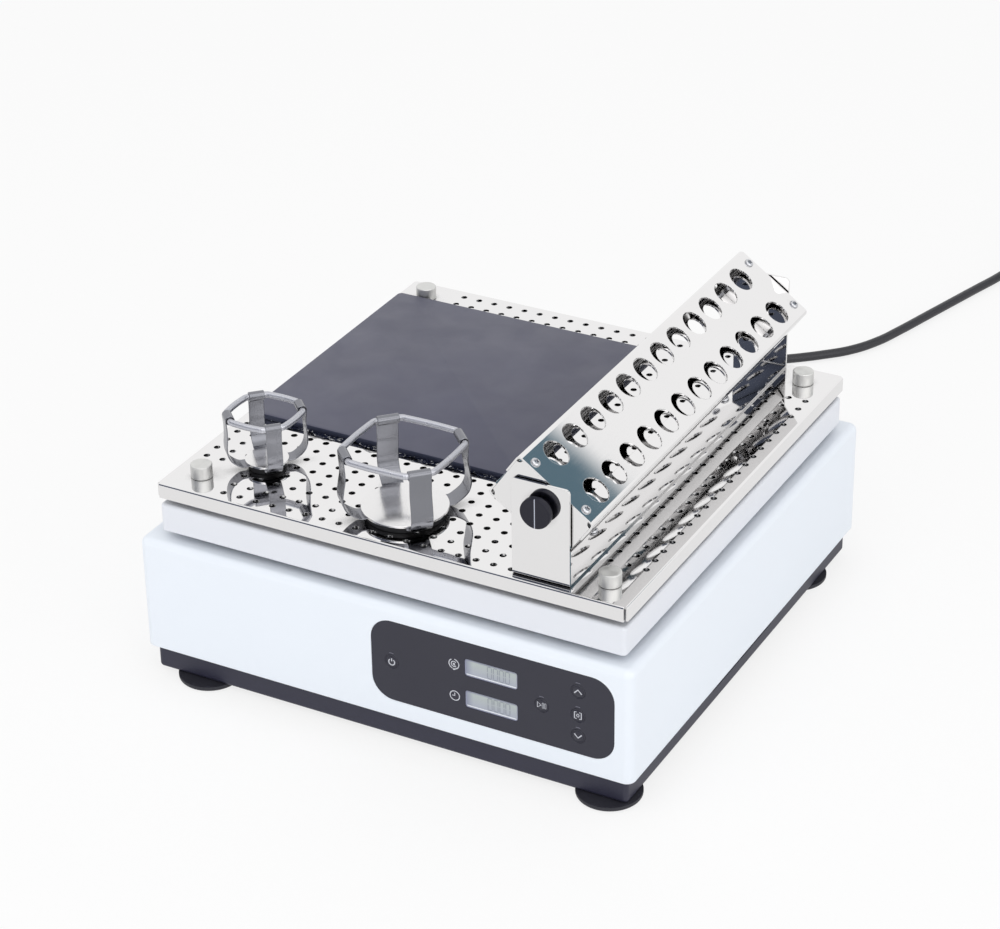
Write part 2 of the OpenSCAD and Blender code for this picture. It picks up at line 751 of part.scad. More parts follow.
module mat() {
    color("#6b6c7c") on_table() translate([(mat_x[0] + mat_x[1]) / 2, (mat_y[0] + mat_y[1]) / 2, tray_z])
        linear_extrude(mat_t) rrect(mat_x[1] - mat_x[0], mat_y[1] - mat_y[0], 3.5);
}

// ---------- flask clamps ----------
module at_clamp(p) {
    on_table() translate([p.x, p.y, tray_z]) children();
}

// The two screw holes lie on a diagonal of the tray's grid and reach up to height z
module clamp_holes(d, z) {
    for (s = [-1, 1]) translate([s * hole_pitch / 2, -s * hole_pitch / 2, -eps]) cylinder(d = d, h = z + eps);
}

module clamp_base(p, d) {
    color("#17171a") at_clamp(p) difference() {
        cylinder(d = d - 4, h = base_t);
        clamp_holes(screw_d + 2 * run, 2 * base_t);
    }
}

module clamp_disc(p, d) {
    color("#cfd0d2") at_clamp(p) difference() {
        translate([0, 0, disc_z]) cylinder(d = d, h = disc_plate_t);
        clamp_holes(screw_d + 2 * run, disc_z + disc_plate_t - 0.5);
    }
}

// Four bent straps on a square middle, each rolled into a loop at its upper end
module clamp_legs(p, line, w, at) {
    color("#a8a9ad") at_clamp(p) difference() {
        union() {
            rotate(45) translate([-w / 2, -w / 2, base_t]) cube([w, w, strap_t]);
            for (a = [45 : 90 : 315]) rotate(a) rotate([90, 0, 0])
                translate([0, 0, -w / 2]) linear_extrude(w) difference() {
                    union() {
                        polygon(strip(concat([[w / 4, strap_z]], smooth(line, 4)), strap_t));
                        translate(at) circle(loop_r);
                    }
                    translate(at) circle(loop_r - loop_t);
                }
        }
        clamp_holes(screw_d + 2 * run, 2 * base_t);
    }
}

// Closed line of the ring spring: short straights in the loops, long sides between them
function ring_line(at, w) = let (k = ring_bend * tan(22.5), half = w / 2 + k, y = at.x * cos(45) + half * sin(45),
    h = at.x * cos(45) - half * sin(45) - k) [for (a = [0 : 90 : 270], q = concat(
        [for (b = [45 : 15 : 90]) [h + ring_bend * cos(b), y - ring_bend + ring_bend * sin(b)]],
        [[0.5 * h, y + 0.75 * ring_bow], [0, y + ring_bow], [-0.5 * h, y + 0.75 * ring_bow]],
        [for (b = [90 : 15 : 135]) [-h + ring_bend * cos(b), y - ring_bend + ring_bend * sin(b)]]))
        [q.x * cos(a) - q.y * sin(a), q.x * sin(a) + q.y * cos(a)]];

module clamp_ring(p, at, w) {
    color("#b5b8bd") at_clamp(p) translate([0, 0, at.y]) loop_tube(ring_line(at, w), ring_d / 2, 12);
}

module pan_head() {
    rotate_extrude() {
        square([screw_head_d / 2, screw_head_h - 1]);
        square([screw_head_d / 2 - 1, screw_head_h]);
        translate([screw_head_d / 2 - 1, screw_head_h - 1]) circle(1);
    }
}

// Pan head screw with its nut under the tray sheet, head seat at height z above the tray
module pan_screw(p, z) {
    on_table() translate([p.x, p.y, tray_z]) {
        translate([0, 0, z]) pan_head();
        translate([0, 0, -sheet_t - nut_h - 1.5]) cylinder(d = screw_d, h = sheet_t + nut_h + 2 + z);
        translate([0, 0, -sheet_t - nut_h]) cylinder(d = screw_head_d + 1, h = nut_h, $fn = 6);
    }
}

// Screw from under the tray sheet up to height z above the tray, in the blind hole of a clamp disc
module low_screw(p, z) {
    on_table() translate([p.x, p.y, tray_z]) {
        translate([0, 0, -sheet_t]) mirror([0, 0, 1]) pan_head();
        translate([0, 0, -sheet_t - 0.5]) cylinder(d = screw_d, h = sheet_t + 0.5 + z);
    }
}

module accessory_screws() {
    color("#b3b5ba") {
        for (s = [-1, 1]) for (p = [large_at, small_at])
            low_screw([p.x + s * hole_pitch / 2, p.y - s * hole_pitch / 2], disc_z + disc_plate_t - 0.6);
        for (s = [-1, 1]) pan_screw([hole_pitch * round(rack_x / hole_pitch), s * 8 * hole_pitch], sheet_t);
    }
}

// ---------- tube rack ----------
module rack_frame() {
    inner = frame_len / 2 - sheet_t;
    color("#dfe1e4") on_table() translate([rack_x, 0, tray_z]) difference() {
        intersection() {
            rotate([90, 0, 90]) translate([0, 0, -frame_w / 2]) linear_extrude(frame_w) difference() {
                union() {
                    translate([-frame_len / 2, 2.2]) square([frame_len, frame_h]);
                    translate([-frame_len / 2 + 2.2, 0]) square([frame_len - 4.4, 3]);
                    for (s = [-1, 1]) translate([s * (frame_len / 2 - 2.2), 2.2]) circle(2.2);
                }
                translate([-inner, sheet_t + 0.7]) square([2 * inner, frame_h + 2]);
                translate([-inner + 0.7, sheet_t]) square([2 * inner - 1.4, 2]);
                for (s = [-1, 1]) translate([s * (inner - 0.7), sheet_t + 0.7]) circle(0.7);
            }
            // rounded upper corners of the two ends
            upright(0, 0, -frame_len, frame_len) union() {
                translate([-frame_w / 2, -eps]) square([frame_w, frame_h - 3 + eps]);
                translate([-frame_w / 2 + 3, 0]) square([frame_w - 6, frame_h]);
                for (s = [-1, 1]) translate([s * (frame_w / 2 - 3), frame_h - 3]) circle(3);
            }
        }
        rod(0, pivot_h, -frame_len, frame_len, stud_d + 2 * run);
        for (s = [-1, 1]) post([hole_pitch * round(rack_x / hole_pitch) - rack_x, s * 8 * hole_pitch], -eps, 3, screw_d + 2 * run);
    }
}

module in_rack() {
    on_table() translate([rack_x, 0, pivot_z]) rotate([0, rack_tilt, 0]) children();
}

// Folded channel, open downwards, with its outer face at height z
module channel(w, z, leg) {
    t = rack_t;
    r = rack_bend;
    rotate([90, 0, 0]) linear_extrude(rack_len, center = true) difference() {
        union() {
            translate([-w / 2, z - leg]) square([w, leg - r]);
            translate([-w / 2 + r, z - r - 0.1]) square([w - 2 * r, r + 0.1]);
            for (s = [-1, 1]) translate([s * (w / 2 - r), z - r]) circle(r);
        }
        translate([-w / 2 + t, z - leg - eps]) square([w - 2 * t, leg - r + eps]);
        translate([-w / 2 + r, z - r - 0.1]) square([w - 2 * r, r - t + 0.1]);
        for (s = [-1, 1]) translate([s * (w / 2 - r), z - r]) circle(r - t);
    }
}

module tube_holes(d, z) {
    for (x = [-1, 1], i = [0 : tube_count - 1])
        translate([x * row_gap / 2, (i - (tube_count - 1) / 2) * tube_pitch, z - 5]) cylinder(d = d, h = 10);
}

module end_screws(d, z, h) {
    for (x = [-1, 1], y = [-1, 1])
        translate([x * rack_screw_x, y * (rack_len / 2 - rack_screw_in), z]) cylinder(d = d, h = h);
}

module rack_top() {
    color("#dcdee1") in_rack() difference() {
        channel(rack_w, rack_top_z, rack_flange);
        tube_holes(tube_d, rack_top_z);
        end_screws(rack_screw_d + 2 * run, rack_top_z - 5, 10);
    }
}

module rack_bottom() {
    color("#dcdee1") in_rack() difference() {
        mirror([0, 0, 1]) channel(rack_w, -rack_low_z, low_flange);
        tube_holes(well_d, rack_low_z);
        end_screws(rack_screw_d + 2 * run, rack_low_z - 5, 10);
    }
}

module rack_ends() {
    w = rack_w - 2 * rack_t - 2 * loose;
    hi = rack_top_z - rack_t;
    lo = rack_low_z + rack_t;
    color("#cdcfd3") in_rack() for (m = [0, 1]) mirror([0, m, 0]) difference() {
        union() {
            upright(0, 0, rack_len / 2 - rack_t, rack_len / 2) difference() {
                translate([-w / 2, lo]) square([w, hi - lo]);
                for (x = [-1, 1], z = [hi, lo]) translate([x * w / 2, z]) circle(3);
            }
            for (z = [hi - rack_t, lo]) translate([-w / 2 + 3.5, rack_len / 2 - end_flange, z])
                cube([w - 7, end_flange, rack_t]);
            // pivot boss and the threaded stud that the knob screws on to
            rod(0, 0, rack_len / 2 - rack_t - 3, rack_len / 2 + rack_play - loose, stud_d + 8);
            rod(0, 0, rack_len / 2 - rack_t - 5, frame_len / 2 + knob_hub_h + 2.4, stud_d);
        }
        end_screws(rack_screw_d + 2 * run, lo - eps, hi - lo + 2 * eps);
    }
}

module rack_screws() {
    color("#b3b5ba") in_rack() {
        end_screws(rack_head_d, rack_top_z, rack_head_h);
        end_screws(rack_screw_d, rack_top_z - 5, 5.5);
        end_screws(rack_head_d, rack_low_z - rack_head_h, rack_head_h);
        end_screws(rack_screw_d, rack_low_z - 0.5, 5.5);
    }
}

module rack_knob(s) {
    y = frame_len / 2;
    color("#16161a") on_table() translate([rack_x, 0, pivot_z]) mirror([0, s < 0 ? 1 : 0, 0]) difference() {
        union() {
            rod(0, 0, y + loose, y + knob_hub_h + 1, knob_hub_d);
            translate([0, y + knob_hub_h, 0]) rotate([-90, 0, 0]) rotate_extrude() {
                translate([0, 0.8]) square([knob_d / 2, knob_head_h - 1.6]);
                square([knob_d / 2 - 0.8, knob_head_h]);
                for (z = [0.8, knob_head_h - 0.8]) translate([knob_d / 2 - 0.8, z]) circle(0.8);
            }
        }
        rod(0, 0, y - eps, y + knob_hub_h + 2.8, stud_d + 2 * run);
    }
}

// ---------- rear of the housing ----------
module cable_gland() {
    color("#1b1b1e") translate([gland_x, rear_y, gland_z]) rotate([-90, 0, 0]) {
        translate([0, 0, -cover_wall - 4]) cylinder(d = gland_thread_d, h = cover_wall + 5);
        translate([0, 0, -cover_wall - 4]) cylinder(d = 20, h = 4, $fn = 6);
        difference() {
            union() {
                cylinder(d = 21, h = 3);
                translate([0, 0, 3]) cylinder(d1 = 17, d2 = 10.5, h = gland_len - 3);
            }
            for (z = [9 : 6 : 27]) translate([0, 0, z]) difference() {
                cylinder(d = 24, h = 2.4);
                translate([0, 0, -eps]) cylinder(d = 9.6, h = 5);
            }
        }
    }
}

module switch_bezel() {
    color("#1b1b1e") difference() {
        union() {
            upright(switch_x, gland_z, rear_y, rear_y + 1.6) rrect(switch_cut.x + 3, switch_cut.y + 3, 1.5);
            upright(switch_x, gland_z, rear_y - cover_wall - 12, rear_y + 0.5)
                square(switch_cut - [2 * loose, 2 * loose], center = true);
        }
        upright(switch_x, gland_z, rear_y - 6, rear_y + 3)
            square([rocker_w + 2 * rocker_play, rocker_h + 2 * rocker_play], center = true);
        rod(switch_x, gland_z, rear_y - 8, rear_y, 1);
        rocker_pin(rocker_pin_len + 0.4, rocker_pin_d + 2 * run);
    }
}

// The rocker turns on two stubs in the bezel's side walls
module rocker_pin(len, d) {
    translate([switch_x, rear_y - 1, gland_z]) rotate([0, 90, 0]) cylinder(d = d, h = len, center = true);
}

module mains_switch() {
    color("#26262a") rocker_pin(rocker_pin_len, rocker_pin_d);
    color("#26262a") translate([switch_x, rear_y - 1, gland_z]) rotate([rocker_rest, 0, 0])
        rotate([90, 0, 90]) translate([0, 0, -rocker_w / 2]) linear_extrude(rocker_w)
            polygon([[-3.4, -2], [-1, -rocker_h / 2 + 0.5], [3.4, -rocker_h / 2 + 0.2], [2.2, 0],
                [3.4, rocker_h / 2 - 0.2], [-1, rocker_h / 2 - 0.5], [-3.4, 2]]);
}

// ---------- mains cord ----------
module mains_cord() {
    color("#141416") {
        tube(concat([[gland_x, rear_y + gland_len, gland_z]], smooth(cord_route, 3),
            [[coil_at.x - strand_r, coil_at.y - coil_lead, lead_z]]), cord_d / 2, 10);
        tube(concat([[tail_at.x, tail_at.y, tail_z]], smooth(tail_route, 3), [plug_at]), cord_d / 2, 10);
    }
}

module cord_coil() {
    color("#141416") translate([coil_at.x, coil_at.y, coil_z]) {
        rotate_extrude() translate([coil_d / 2, coil_h / 2]) rrect(coil_side, coil_h, 3);
        // the cord comes in at the bottom and leaves at the top, as tangents
        rod(-strand_r, cord_d / 2, -coil_lead, 0, cord_d);
        rod(strand_r, coil_h - cord_d / 2, -coil_lead, 0, cord_d);
    }
}

module cord_tie() {
    color("#2a2a2e") translate([coil_at.x, coil_at.y + coil_d / 2, coil_z + coil_h / 2]) rotate([90, 0, 90])
        linear_extrude(9, center = true) difference() {
            rrect(coil_side + 2.5, coil_h + 2.5, 3.6);
            rrect(coil_side + 0.8, coil_h + 0.8, 3);
        }
}

module mains_plug() {
    color("#18181b") translate(plug_at) rotate([90, 0, 0]) difference() {
        union() {
            intersection() {
                union() {
                    cylinder(d = 11, h = plug_relief + 1);
                    translate([0, 0, plug_relief]) cylinder(d1 = 15, d2 = plug_d - 3, h = plug_grip);
                    translate([0, 0, plug_relief + plug_grip]) cylinder(d = plug_d, h = plug_face);
                }
                translate([-plug_d, -plug_z + 0.1, 0]) cube([2 * plug_d, 2 * plug_z - 0.2, 200]);
            }
            for (s = [-1, 1]) translate([s * pin_gap / 2, 0, plug_relief + plug_grip])
                cylinder(d = 4.8, h = plug_face + pin_len);
        }
        // grip grooves
        for (s = [-1, 1], i = [0 : 2]) translate([s * (plug_d / 2 + 2), 0, plug_relief + 10 + 7 * i])
            rotate([90, 0, 0]) cylinder(d = 3, h = plug_d, center = true);
    }
}

housing_cover();
base_pan();
feet();
foot_screws();
chassis_plate();
control_panel();
lcd_modules();
key_cap(0);  // key_power
key_cap(1);  // key_start
key_cap(2);  // key_up
key_cap(3);  // key_enter
key_cap(4);  // key_down
control_board();
power_supply();
drive_motor();
motor_pulley();
drive_belt();
drive_pulley();
drive_crank();
counterweight();
bearing_housing();
main_bearings();
idler_posts();
idler_crank(0);  // idler_crank_1
idler_crank(1);  // idler_crank_2
idler_crank(2);  // idler_crank_3
idler_crank(3);  // idler_crank_4
table_plate();
table_hubs();
table_bearings();
tray_spacers();
tray();
thumb_screw(0);  // thumb_screw_1
thumb_screw(1);  // thumb_screw_2
thumb_screw(2);  // thumb_screw_3
thumb_screw(3);  // thumb_screw_4
mat();
clamp_base(large_at, large_disc_d);  // clamp_large_base
clamp_disc(large_at, large_disc_d);  // clamp_large_disc
clamp_legs(large_at, large_line, large_strap_w, large_ring_at);  // clamp_large_legs
clamp_ring(large_at, large_ring_at, large_strap_w);  // clamp_large_ring
clamp_base(small_at, small_disc_d);  // clamp_small_base
clamp_disc(small_at, small_disc_d);  // clamp_small_disc
clamp_legs(small_at, small_line, small_strap_w, small_ring_at);  // clamp_small_legs
clamp_ring(small_at, small_ring_at, small_strap_w);  // clamp_small_ring
accessory_screws();
rack_frame();
rack_top();
rack_bottom();
rack_ends();
rack_screws();
rack_knob(-1);  // rack_knob_front
rack_knob(1);  // rack_knob_rear
cable_gland();
switch_bezel();
mains_switch();
mains_cord();
cord_coil();
cord_tie();
mains_plug();
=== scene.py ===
import json
import math
import random

import bmesh
import bpy
from bpy.props import FloatProperty, FloatVectorProperty, IntProperty
from mathutils import Matrix, Vector

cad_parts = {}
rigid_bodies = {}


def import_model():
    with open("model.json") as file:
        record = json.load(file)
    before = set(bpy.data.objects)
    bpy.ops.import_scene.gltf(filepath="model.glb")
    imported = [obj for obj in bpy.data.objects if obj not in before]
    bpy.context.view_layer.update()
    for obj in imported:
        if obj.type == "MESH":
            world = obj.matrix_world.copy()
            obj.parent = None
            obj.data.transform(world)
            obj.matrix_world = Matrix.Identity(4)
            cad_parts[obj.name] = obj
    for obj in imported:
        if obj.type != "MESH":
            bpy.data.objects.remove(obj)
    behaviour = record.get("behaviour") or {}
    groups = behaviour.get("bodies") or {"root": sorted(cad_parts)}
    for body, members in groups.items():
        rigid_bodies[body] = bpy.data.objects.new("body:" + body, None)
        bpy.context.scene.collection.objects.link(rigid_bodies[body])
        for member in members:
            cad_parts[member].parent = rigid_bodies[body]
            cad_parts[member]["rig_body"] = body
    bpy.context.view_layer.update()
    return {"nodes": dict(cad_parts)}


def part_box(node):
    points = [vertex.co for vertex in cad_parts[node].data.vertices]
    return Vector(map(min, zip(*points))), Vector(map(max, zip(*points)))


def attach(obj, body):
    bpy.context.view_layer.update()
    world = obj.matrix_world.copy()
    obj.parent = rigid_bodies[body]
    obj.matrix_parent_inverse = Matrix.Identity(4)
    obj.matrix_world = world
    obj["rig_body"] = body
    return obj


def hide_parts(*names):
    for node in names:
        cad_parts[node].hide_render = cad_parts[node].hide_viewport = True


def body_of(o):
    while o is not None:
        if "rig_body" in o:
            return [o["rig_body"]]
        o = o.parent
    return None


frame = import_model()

bl_info = {
    "name": "Orbital shaker pieces",
    "version": (1, 0, 0),
    "blender": (4, 5, 0),
    "location": "3D View > Sidebar > Shaker",
    "description": "Adds the panel, mat, clamps, knobs, cord and finishes of a benchtop orbital shaker",
    "category": "Object",
}

NODES = frame["nodes"]
TAU = 2 * math.pi
UP, FRONT, BACK = Vector((0, 0, 1)), Vector((0, -1, 0)), Vector((0, 1, 0))
WHITE = (1, 1, 1, 1)
AXIS_R = 0.02                       # radius of the tiny disc that closes a turned piece at its axis, in mm
COAT_EDGE = 0.0005                  # rounding that the powder coat gives a cut edge, in metres

# Places of the CAD model that pieces repeat, in mm of the shared frame
TABLE_AT = Vector((3, -4, 0))       # middle of the moving table at rest
TRAY_Z = 142                        # top of the tray sheet
FRONT_Y = -175                      # front face of the housing
PANEL = (79.75, 63.2, 167.5, 57.6, 15)            # x, z, width, height, corner radius
LCD_AT = ((80, 73.8), (80, 51.0))
KEYS = {"power": (10.3, 62.5), "start": (114.6, 61.9), "up": (139.2, 79.0),
        "enter": (139.1, 62.0), "down": (139.2, 47.1)}
CLAMPS = {"large": (-6, -126), "small": (-114, -114)}
THUMB_SCREWS = 144                  # from the middle of the table, both ways
KNOBS = 160                         # from the middle of the rack to each knob's seat
RACK_PIVOT = Vector((109, -4, 191.5))
GLAND_AT = Vector((-67, 175, 45))
SWITCH_AT = Vector((-112, 175, 45))
COIL_AT = Vector((168.5, 718, 1.3))
PLUG_AT = Vector((212, 652, 16.6))


def linear(code):
    """An sRGB hex colour as linear red, green and blue."""
    parts = [int(code[i:i + 2], 16) / 255 for i in (1, 3, 5)]
    return tuple(p / 12.92 if p <= 0.04045 else ((p + 0.055) / 1.055) ** 2.4 for p in parts)


# ---------------------------------------------------------------- settings
def size(name, text, default, low, high):
    return FloatProperty(name=name, description=text, default=default, min=low, max=high,
                         unit="LENGTH", precision=5)


def colour(name, text, code):
    return FloatVectorProperty(name=name, description=text, default=linear(code), min=0, max=1,
                               size=3, subtype="COLOR")


class ShakerSizes(bpy.types.PropertyGroup):
    """Sizes of the added pieces."""
    edge: size("Edge rounding", "Radius on the edges of bent and cut sheet", 0.00025, 0.0001, 0.001)
    peel: size("Orange peel", "Spacing of the ripple in the powder coat", 0.0016, 0.0005, 0.01)
    mat_edge: size("Mat edge", "Chamfer around the top of the mat", 0.0006, 0.0002, 0.002)
    film_width: size("Liner width", "How far the clear liner shows past the mat", 0.007, 0.002, 0.012)
    ring_wire: size("Ring spring wire", "Wire of the close-wound ring springs", 0.0007, 0.0004, 0.0012)
    icon_line: size("Icon line", "Line width of the printed icons", 0.00065, 0.0003, 0.001)
    cord_length: size("Cord length", "Length of the mains cord from gland to plug", 1.81, 1.5, 2.0)
    cord_d: size("Cord diameter", "Diameter of the mains cord", 0.007, 0.006, 0.008)
    turns: IntProperty(name="Steps per turn", description="Steps around turned pieces", default=64,
                       min=24, max=128)


class ShakerColours(bpy.types.PropertyGroup):
    """Colours of the finishes."""
    cover: colour("Cover", "Powder coat of the housing cover", "#ECF2FA")
    table: colour("Table", "Powder coat of the moving table", "#E4E7EE")
    pan: colour("Base pan", "Powder coat of the base pan", "#29293B")
    panel: colour("Panel film", "Printed film over the controls", "#1A1A2C")
    ink: colour("Panel ink", "Pale ink of the icons", "#C6C8D0")
    glass: colour("Display", "Unlit display glass", "#B4BCBC")
    stainless: colour("Polished stainless", "Tray and tube rack", "#EDECEC")
    strap: colour("Clamp straps", "Brushed spring steel of the straps", "#86878D")
    spring: colour("Ring springs", "Drawn wire of the ring springs", "#C6C7CE")
    mat: colour("Mat", "Grip mat of silicone rubber", "#545566")
    knob: colour("Knobs", "Clamping knobs of the rack", "#101020")
    cord: colour("Cord", "Sheath of the mains cord", "#26262C")


# ---------------------------------------------------------------- materials
def add(mat, kind, links=None, **settings):
    """One shader node with its settings; links gives each input a value or another node's output."""
    node = mat.node_tree.nodes.new("ShaderNode" + kind)
    for key, value in settings.items():
        setattr(node, key, value)
    for key, value in (links or {}).items():
        if isinstance(value, bpy.types.NodeSocket):
            mat.node_tree.links.new(value, node.inputs[key])
        else:
            node.inputs[key].default_value = value
    return node


def shader_of(mat):
    return mat.node_tree.nodes["Principled BSDF"]


def blank(name, **sockets):
    """A new material whose principled shader has these sockets set."""
    mat = bpy.data.materials.new(name)
    mat.use_nodes = True
    for key, value in sockets.items():
        shader_of(mat).inputs[key.replace("_", " ")].default_value = value
    return mat


def join(mat, socket, output):
    mat.node_tree.links.new(output, shader_of(mat).inputs[socket])


def shade(rgb, k):
    """The colour times k, as a colour socket's value."""
    return tuple(min(1, c * k) for c in rgb) + (1,)


def solid(code):
    """An sRGB hex colour as a colour socket's value."""
    return linear(code) + (1,)


def per(mm):
    """Texture scale that makes one feature this many mm wide."""
    return 1000 / mm


def here(mat):
    return add(mat, "TexCoord").outputs["Object"]


def run_of(mat):
    """The distance along and around a piece, from its 'run' map."""
    return add(mat, "UVMap", uv_map="run").outputs[0]


def noise(mat, at, scale, detail=2.0, **more):
    return add(mat, "TexNoise", {"Vector": at, "Scale": scale, "Detail": detail, **more}).outputs[0]


def maths(mat, operation, *values):
    return add(mat, "Math", dict(enumerate(values)), operation=operation).outputs[0]


def blend(mat, fac, low, high, **settings):
    """From one colour to another along fac."""
    return add(mat, "Mix", {0: fac, 6: low, 7: high}, data_type="RGBA", **settings).outputs[2]


def mapped(mat, at, scale):
    return add(mat, "Mapping", {"Vector": at, "Scale": scale}).outputs[0]


def streaks(mat, at, wide, length, axis):
    """Texture place squeezed so that features are wide mm across and length mm along one axis."""
    scale = [per(wide)] * 3
    scale[axis] = per(length)
    return mapped(mat, at, scale)


def spread_of(mat, value, low, high, start=0.3, end=0.7):
    """A noise value stretched to run from low to high."""
    return add(mat, "MapRange", {"Value": value, "From Min": start, "From Max": end,
                                 "To Min": low, "To Max": high}).outputs[0]


def bump(mat, height, distance, strength=0.5, over=None):
    """Raises the surface by height, over an earlier bump or bevel if one is given."""
    links = {"Height": height, "Distance": distance, "Strength": strength}
    if over is not None:
        links["Normal"] = over
    return add(mat, "Bump", links).outputs[0]


def bevel(mat, radius):
    return add(mat, "Bevel", {"Radius": radius}, samples=4).outputs[0]


def tint(mat, rgb, drift, tone):
    """Base colour that drifts either side of rgb, along tone."""
    join(mat, "Base Color", blend(mat, tone, shade(rgb, 1 - drift), shade(rgb, 1 + drift)))


def finish(mat, rgb, drift, tone, wear, low, high, normal):
    """Drifting base colour, roughness that runs from low to high with wear, and a bump."""
    tint(mat, rgb, drift, tone)
    join(mat, "Roughness", spread_of(mat, wear, low, high))
    join(mat, "Normal", normal)
    return mat


def powder_coat(name, rgb, peel, rough, ripple=0.000016):
    """Polyester powder coat, sprayed and baked on sheet steel: a satin skin with a fine orange peel
    that softens reflections, and edges that catch a thin line of light."""
    mat = blank(name, Roughness=rough, IOR=1.5)
    at = here(mat)
    broad = noise(mat, at, per(60), 3.0)
    skin = noise(mat, at, 1 / peel, Roughness=0.4)
    return finish(mat, rgb, 0.012, broad, broad, rough - 0.03, rough + 0.04,
                  bump(mat, skin, ripple, 0.6, bevel(mat, COAT_EDGE)))


def moulded(name, rgb, grain, rough, depth=0.00002, ior=1.48):
    """Injection-moulded plastic or rubber: an even body colour with a spark-eroded grain
    that breaks up the highlight, slightly duller where it has been handled."""
    mat = blank(name, Roughness=rough, IOR=ior)
    at = here(mat)
    wear = noise(mat, at, per(14), 4.0)
    pits = noise(mat, at, per(grain), 3.0)
    return finish(mat, rgb, 0.08, wear, wear, rough - 0.05, rough + 0.07, bump(mat, pits, depth))


def polished_sheet(name, rgb, edge, axis=0, wave=0.000004, reach=0.022, painted_shade_level=0.16):
    """Bright-annealed stainless sheet, roll-polished: nearly a mirror, with a faint long waviness,
    hairline scratches along the rolling direction and finger smudges that dull it in patches.
    Its colour also carries painted shade in the hollows between sheets."""
    rough = 0.022
    mat = blank(name, Metallic=1.0, Roughness=rough)
    at = here(mat)
    smudge = noise(mat, at, per(38), 5.0, Roughness=0.6)
    # painted shade: the base colour is darkened by ambient occlusion in the hollows between sheets,
    # standing in for the light that steel loses at each bounce
    open_sky = add(mat, "AmbientOcclusion", {"Distance": reach}, samples=4).outputs["AO"]
    painted_hollow_shade = blend(mat, spread_of(mat, open_sky, 0.0, 1.0, 0.2, 0.68), shade(rgb, painted_shade_level), shade(rgb, 1.0))
    patchy = blend(mat, smudge, shade((1, 1, 1), 0.97), WHITE)
    join(mat, "Base Color", blend(mat, 1.0, painted_hollow_shade, patchy, blend_type="MULTIPLY"))
    hair = noise(mat, streaks(mat, at, 0.5, 45, axis), 1.0, 3.0)
    join(mat, "Roughness", maths(mat, "ADD", spread_of(mat, smudge, rough * 0.7, rough * 1.7),
                                 spread_of(mat, hair, 0.0, rough * 0.5)))
    sway = bump(mat, noise(mat, at, per(110), 0.0), wave, 1.0, bevel(mat, edge))
    join(mat, "Normal", bump(mat, hair, 0.0000012, 0.5, sway))
    return mat


def brushed_strip(name, rgb, rough):
    """Cold-rolled spring steel, belt-brushed lengthwise: streaks that run along the strip,
    read from the strip's own unrolled length so that they follow each bend."""
    mat = blank(name, Metallic=1.0, Roughness=rough, Anisotropic=0.45)
    streak = noise(mat, streaks(mat, run_of(mat), 0.3, 60, 0), 1.0, 4.0)
    return finish(mat, rgb, 0.09, streak, streak, rough - 0.07, rough + 0.08, bump(mat, streak, 0.0000015))


def turned_metal(name, rgb, rough, pitch=0.35, metallic=1.0):
    """A part turned on a lathe: fine rings around the axis that draw a soft streak across each face."""
    mat = blank(name, Metallic=metallic, Roughness=rough, Anisotropic=0.5)
    cut = noise(mat, mapped(mat, run_of(mat), (per(pitch), 3.0, 1.0)), 1.0, 3.0)
    return finish(mat, rgb, 0.05, cut, cut, rough - 0.06, rough + 0.06, bump(mat, cut, 0.000008))


def wound_spring(name, rgb, wire):
    """Close-wound tension spring of drawn steel wire: ridges one wire apart across the tube,
    which turn its highlight into a row of small glints."""
    mat = blank(name, Metallic=1.0, Roughness=0.3)
    run = run_of(mat)
    # the wave texture makes one ridge each half of tau units of scaled length
    ridge = add(mat, "TexWave", {"Vector": mapped(mat, run, (math.pi / 10 / wire, 1.6, 1.0)), "Scale": 1.0},
                wave_type="BANDS", bands_direction="X", wave_profile="SIN").outputs[1]
    # painted shade in the grooves between turns and a painted highlight on each crest: the base colour
    # follows the ridges
    join(mat, "Base Color", blend(mat, ridge, shade(rgb, 0.8), shade(rgb, 1.15)))
    join(mat, "Roughness", spread_of(mat, noise(mat, run, per(5)), 0.26, 0.32))
    join(mat, "Normal", bump(mat, ridge, wire * 0.2))
    return mat


def satin_steel(name, rgb, rough, streak=0.6):
    """Zinc-plated, ground or cast metal parts: a soft grey sheen with a directional grain."""
    mat = blank(name, Metallic=1.0, Roughness=rough)
    grain = noise(mat, streaks(mat, here(mat), streak, streak * 30, 1), 1.0, 4.0)
    return finish(mat, rgb, 0.06, grain, grain, rough - 0.06, rough + 0.08, bump(mat, grain, 0.000002))


def silicone_mat(name, rgb):
    """Silicone rubber, pressed between smooth plates: a soft grey skin that brightens at low angles,
    with dust and cloudy rub marks a few centimetres across."""
    mat = blank(name, Roughness=0.5, IOR=1.41, Sheen_Weight=0.08, Sheen_Roughness=0.5)
    at = here(mat)
    cloud = noise(mat, at, per(70), 5.0, Roughness=0.62)
    rub = noise(mat, at, per(25), 6.0, Distortion=0.4)
    return finish(mat, rgb, 0.07, spread_of(mat, cloud, 0.0, 1.0), rub, 0.42, 0.58,
                  bump(mat, noise(mat, at, per(0.9)), 0.00001))


def clear_liner(name):
    """Cast PVC protection film, wrinkled where it was peeled back: its colour is the dark of the mat's edge
    as painted shade, with painted highlights in white along its creases."""
    mat = blank(name, Roughness=0.12, IOR=1.54, Alpha=0.3)
    crease = noise(mat, here(mat), per(3.5), 5.0, Distortion=1.2)
    white = spread_of(mat, crease, 0.0, 1.0, 0.58, 0.66)
    # painted shade in the mat edge's dark, with painted highlights in white on the creases
    join(mat, "Base Color", blend(mat, white, solid("#262B40"), WHITE))
    join(mat, "Alpha", spread_of(mat, crease, 0.5, 0.85, 0.42, 0.66))
    join(mat, "Normal", bump(mat, crease, 0.0004, 0.8))
    return mat


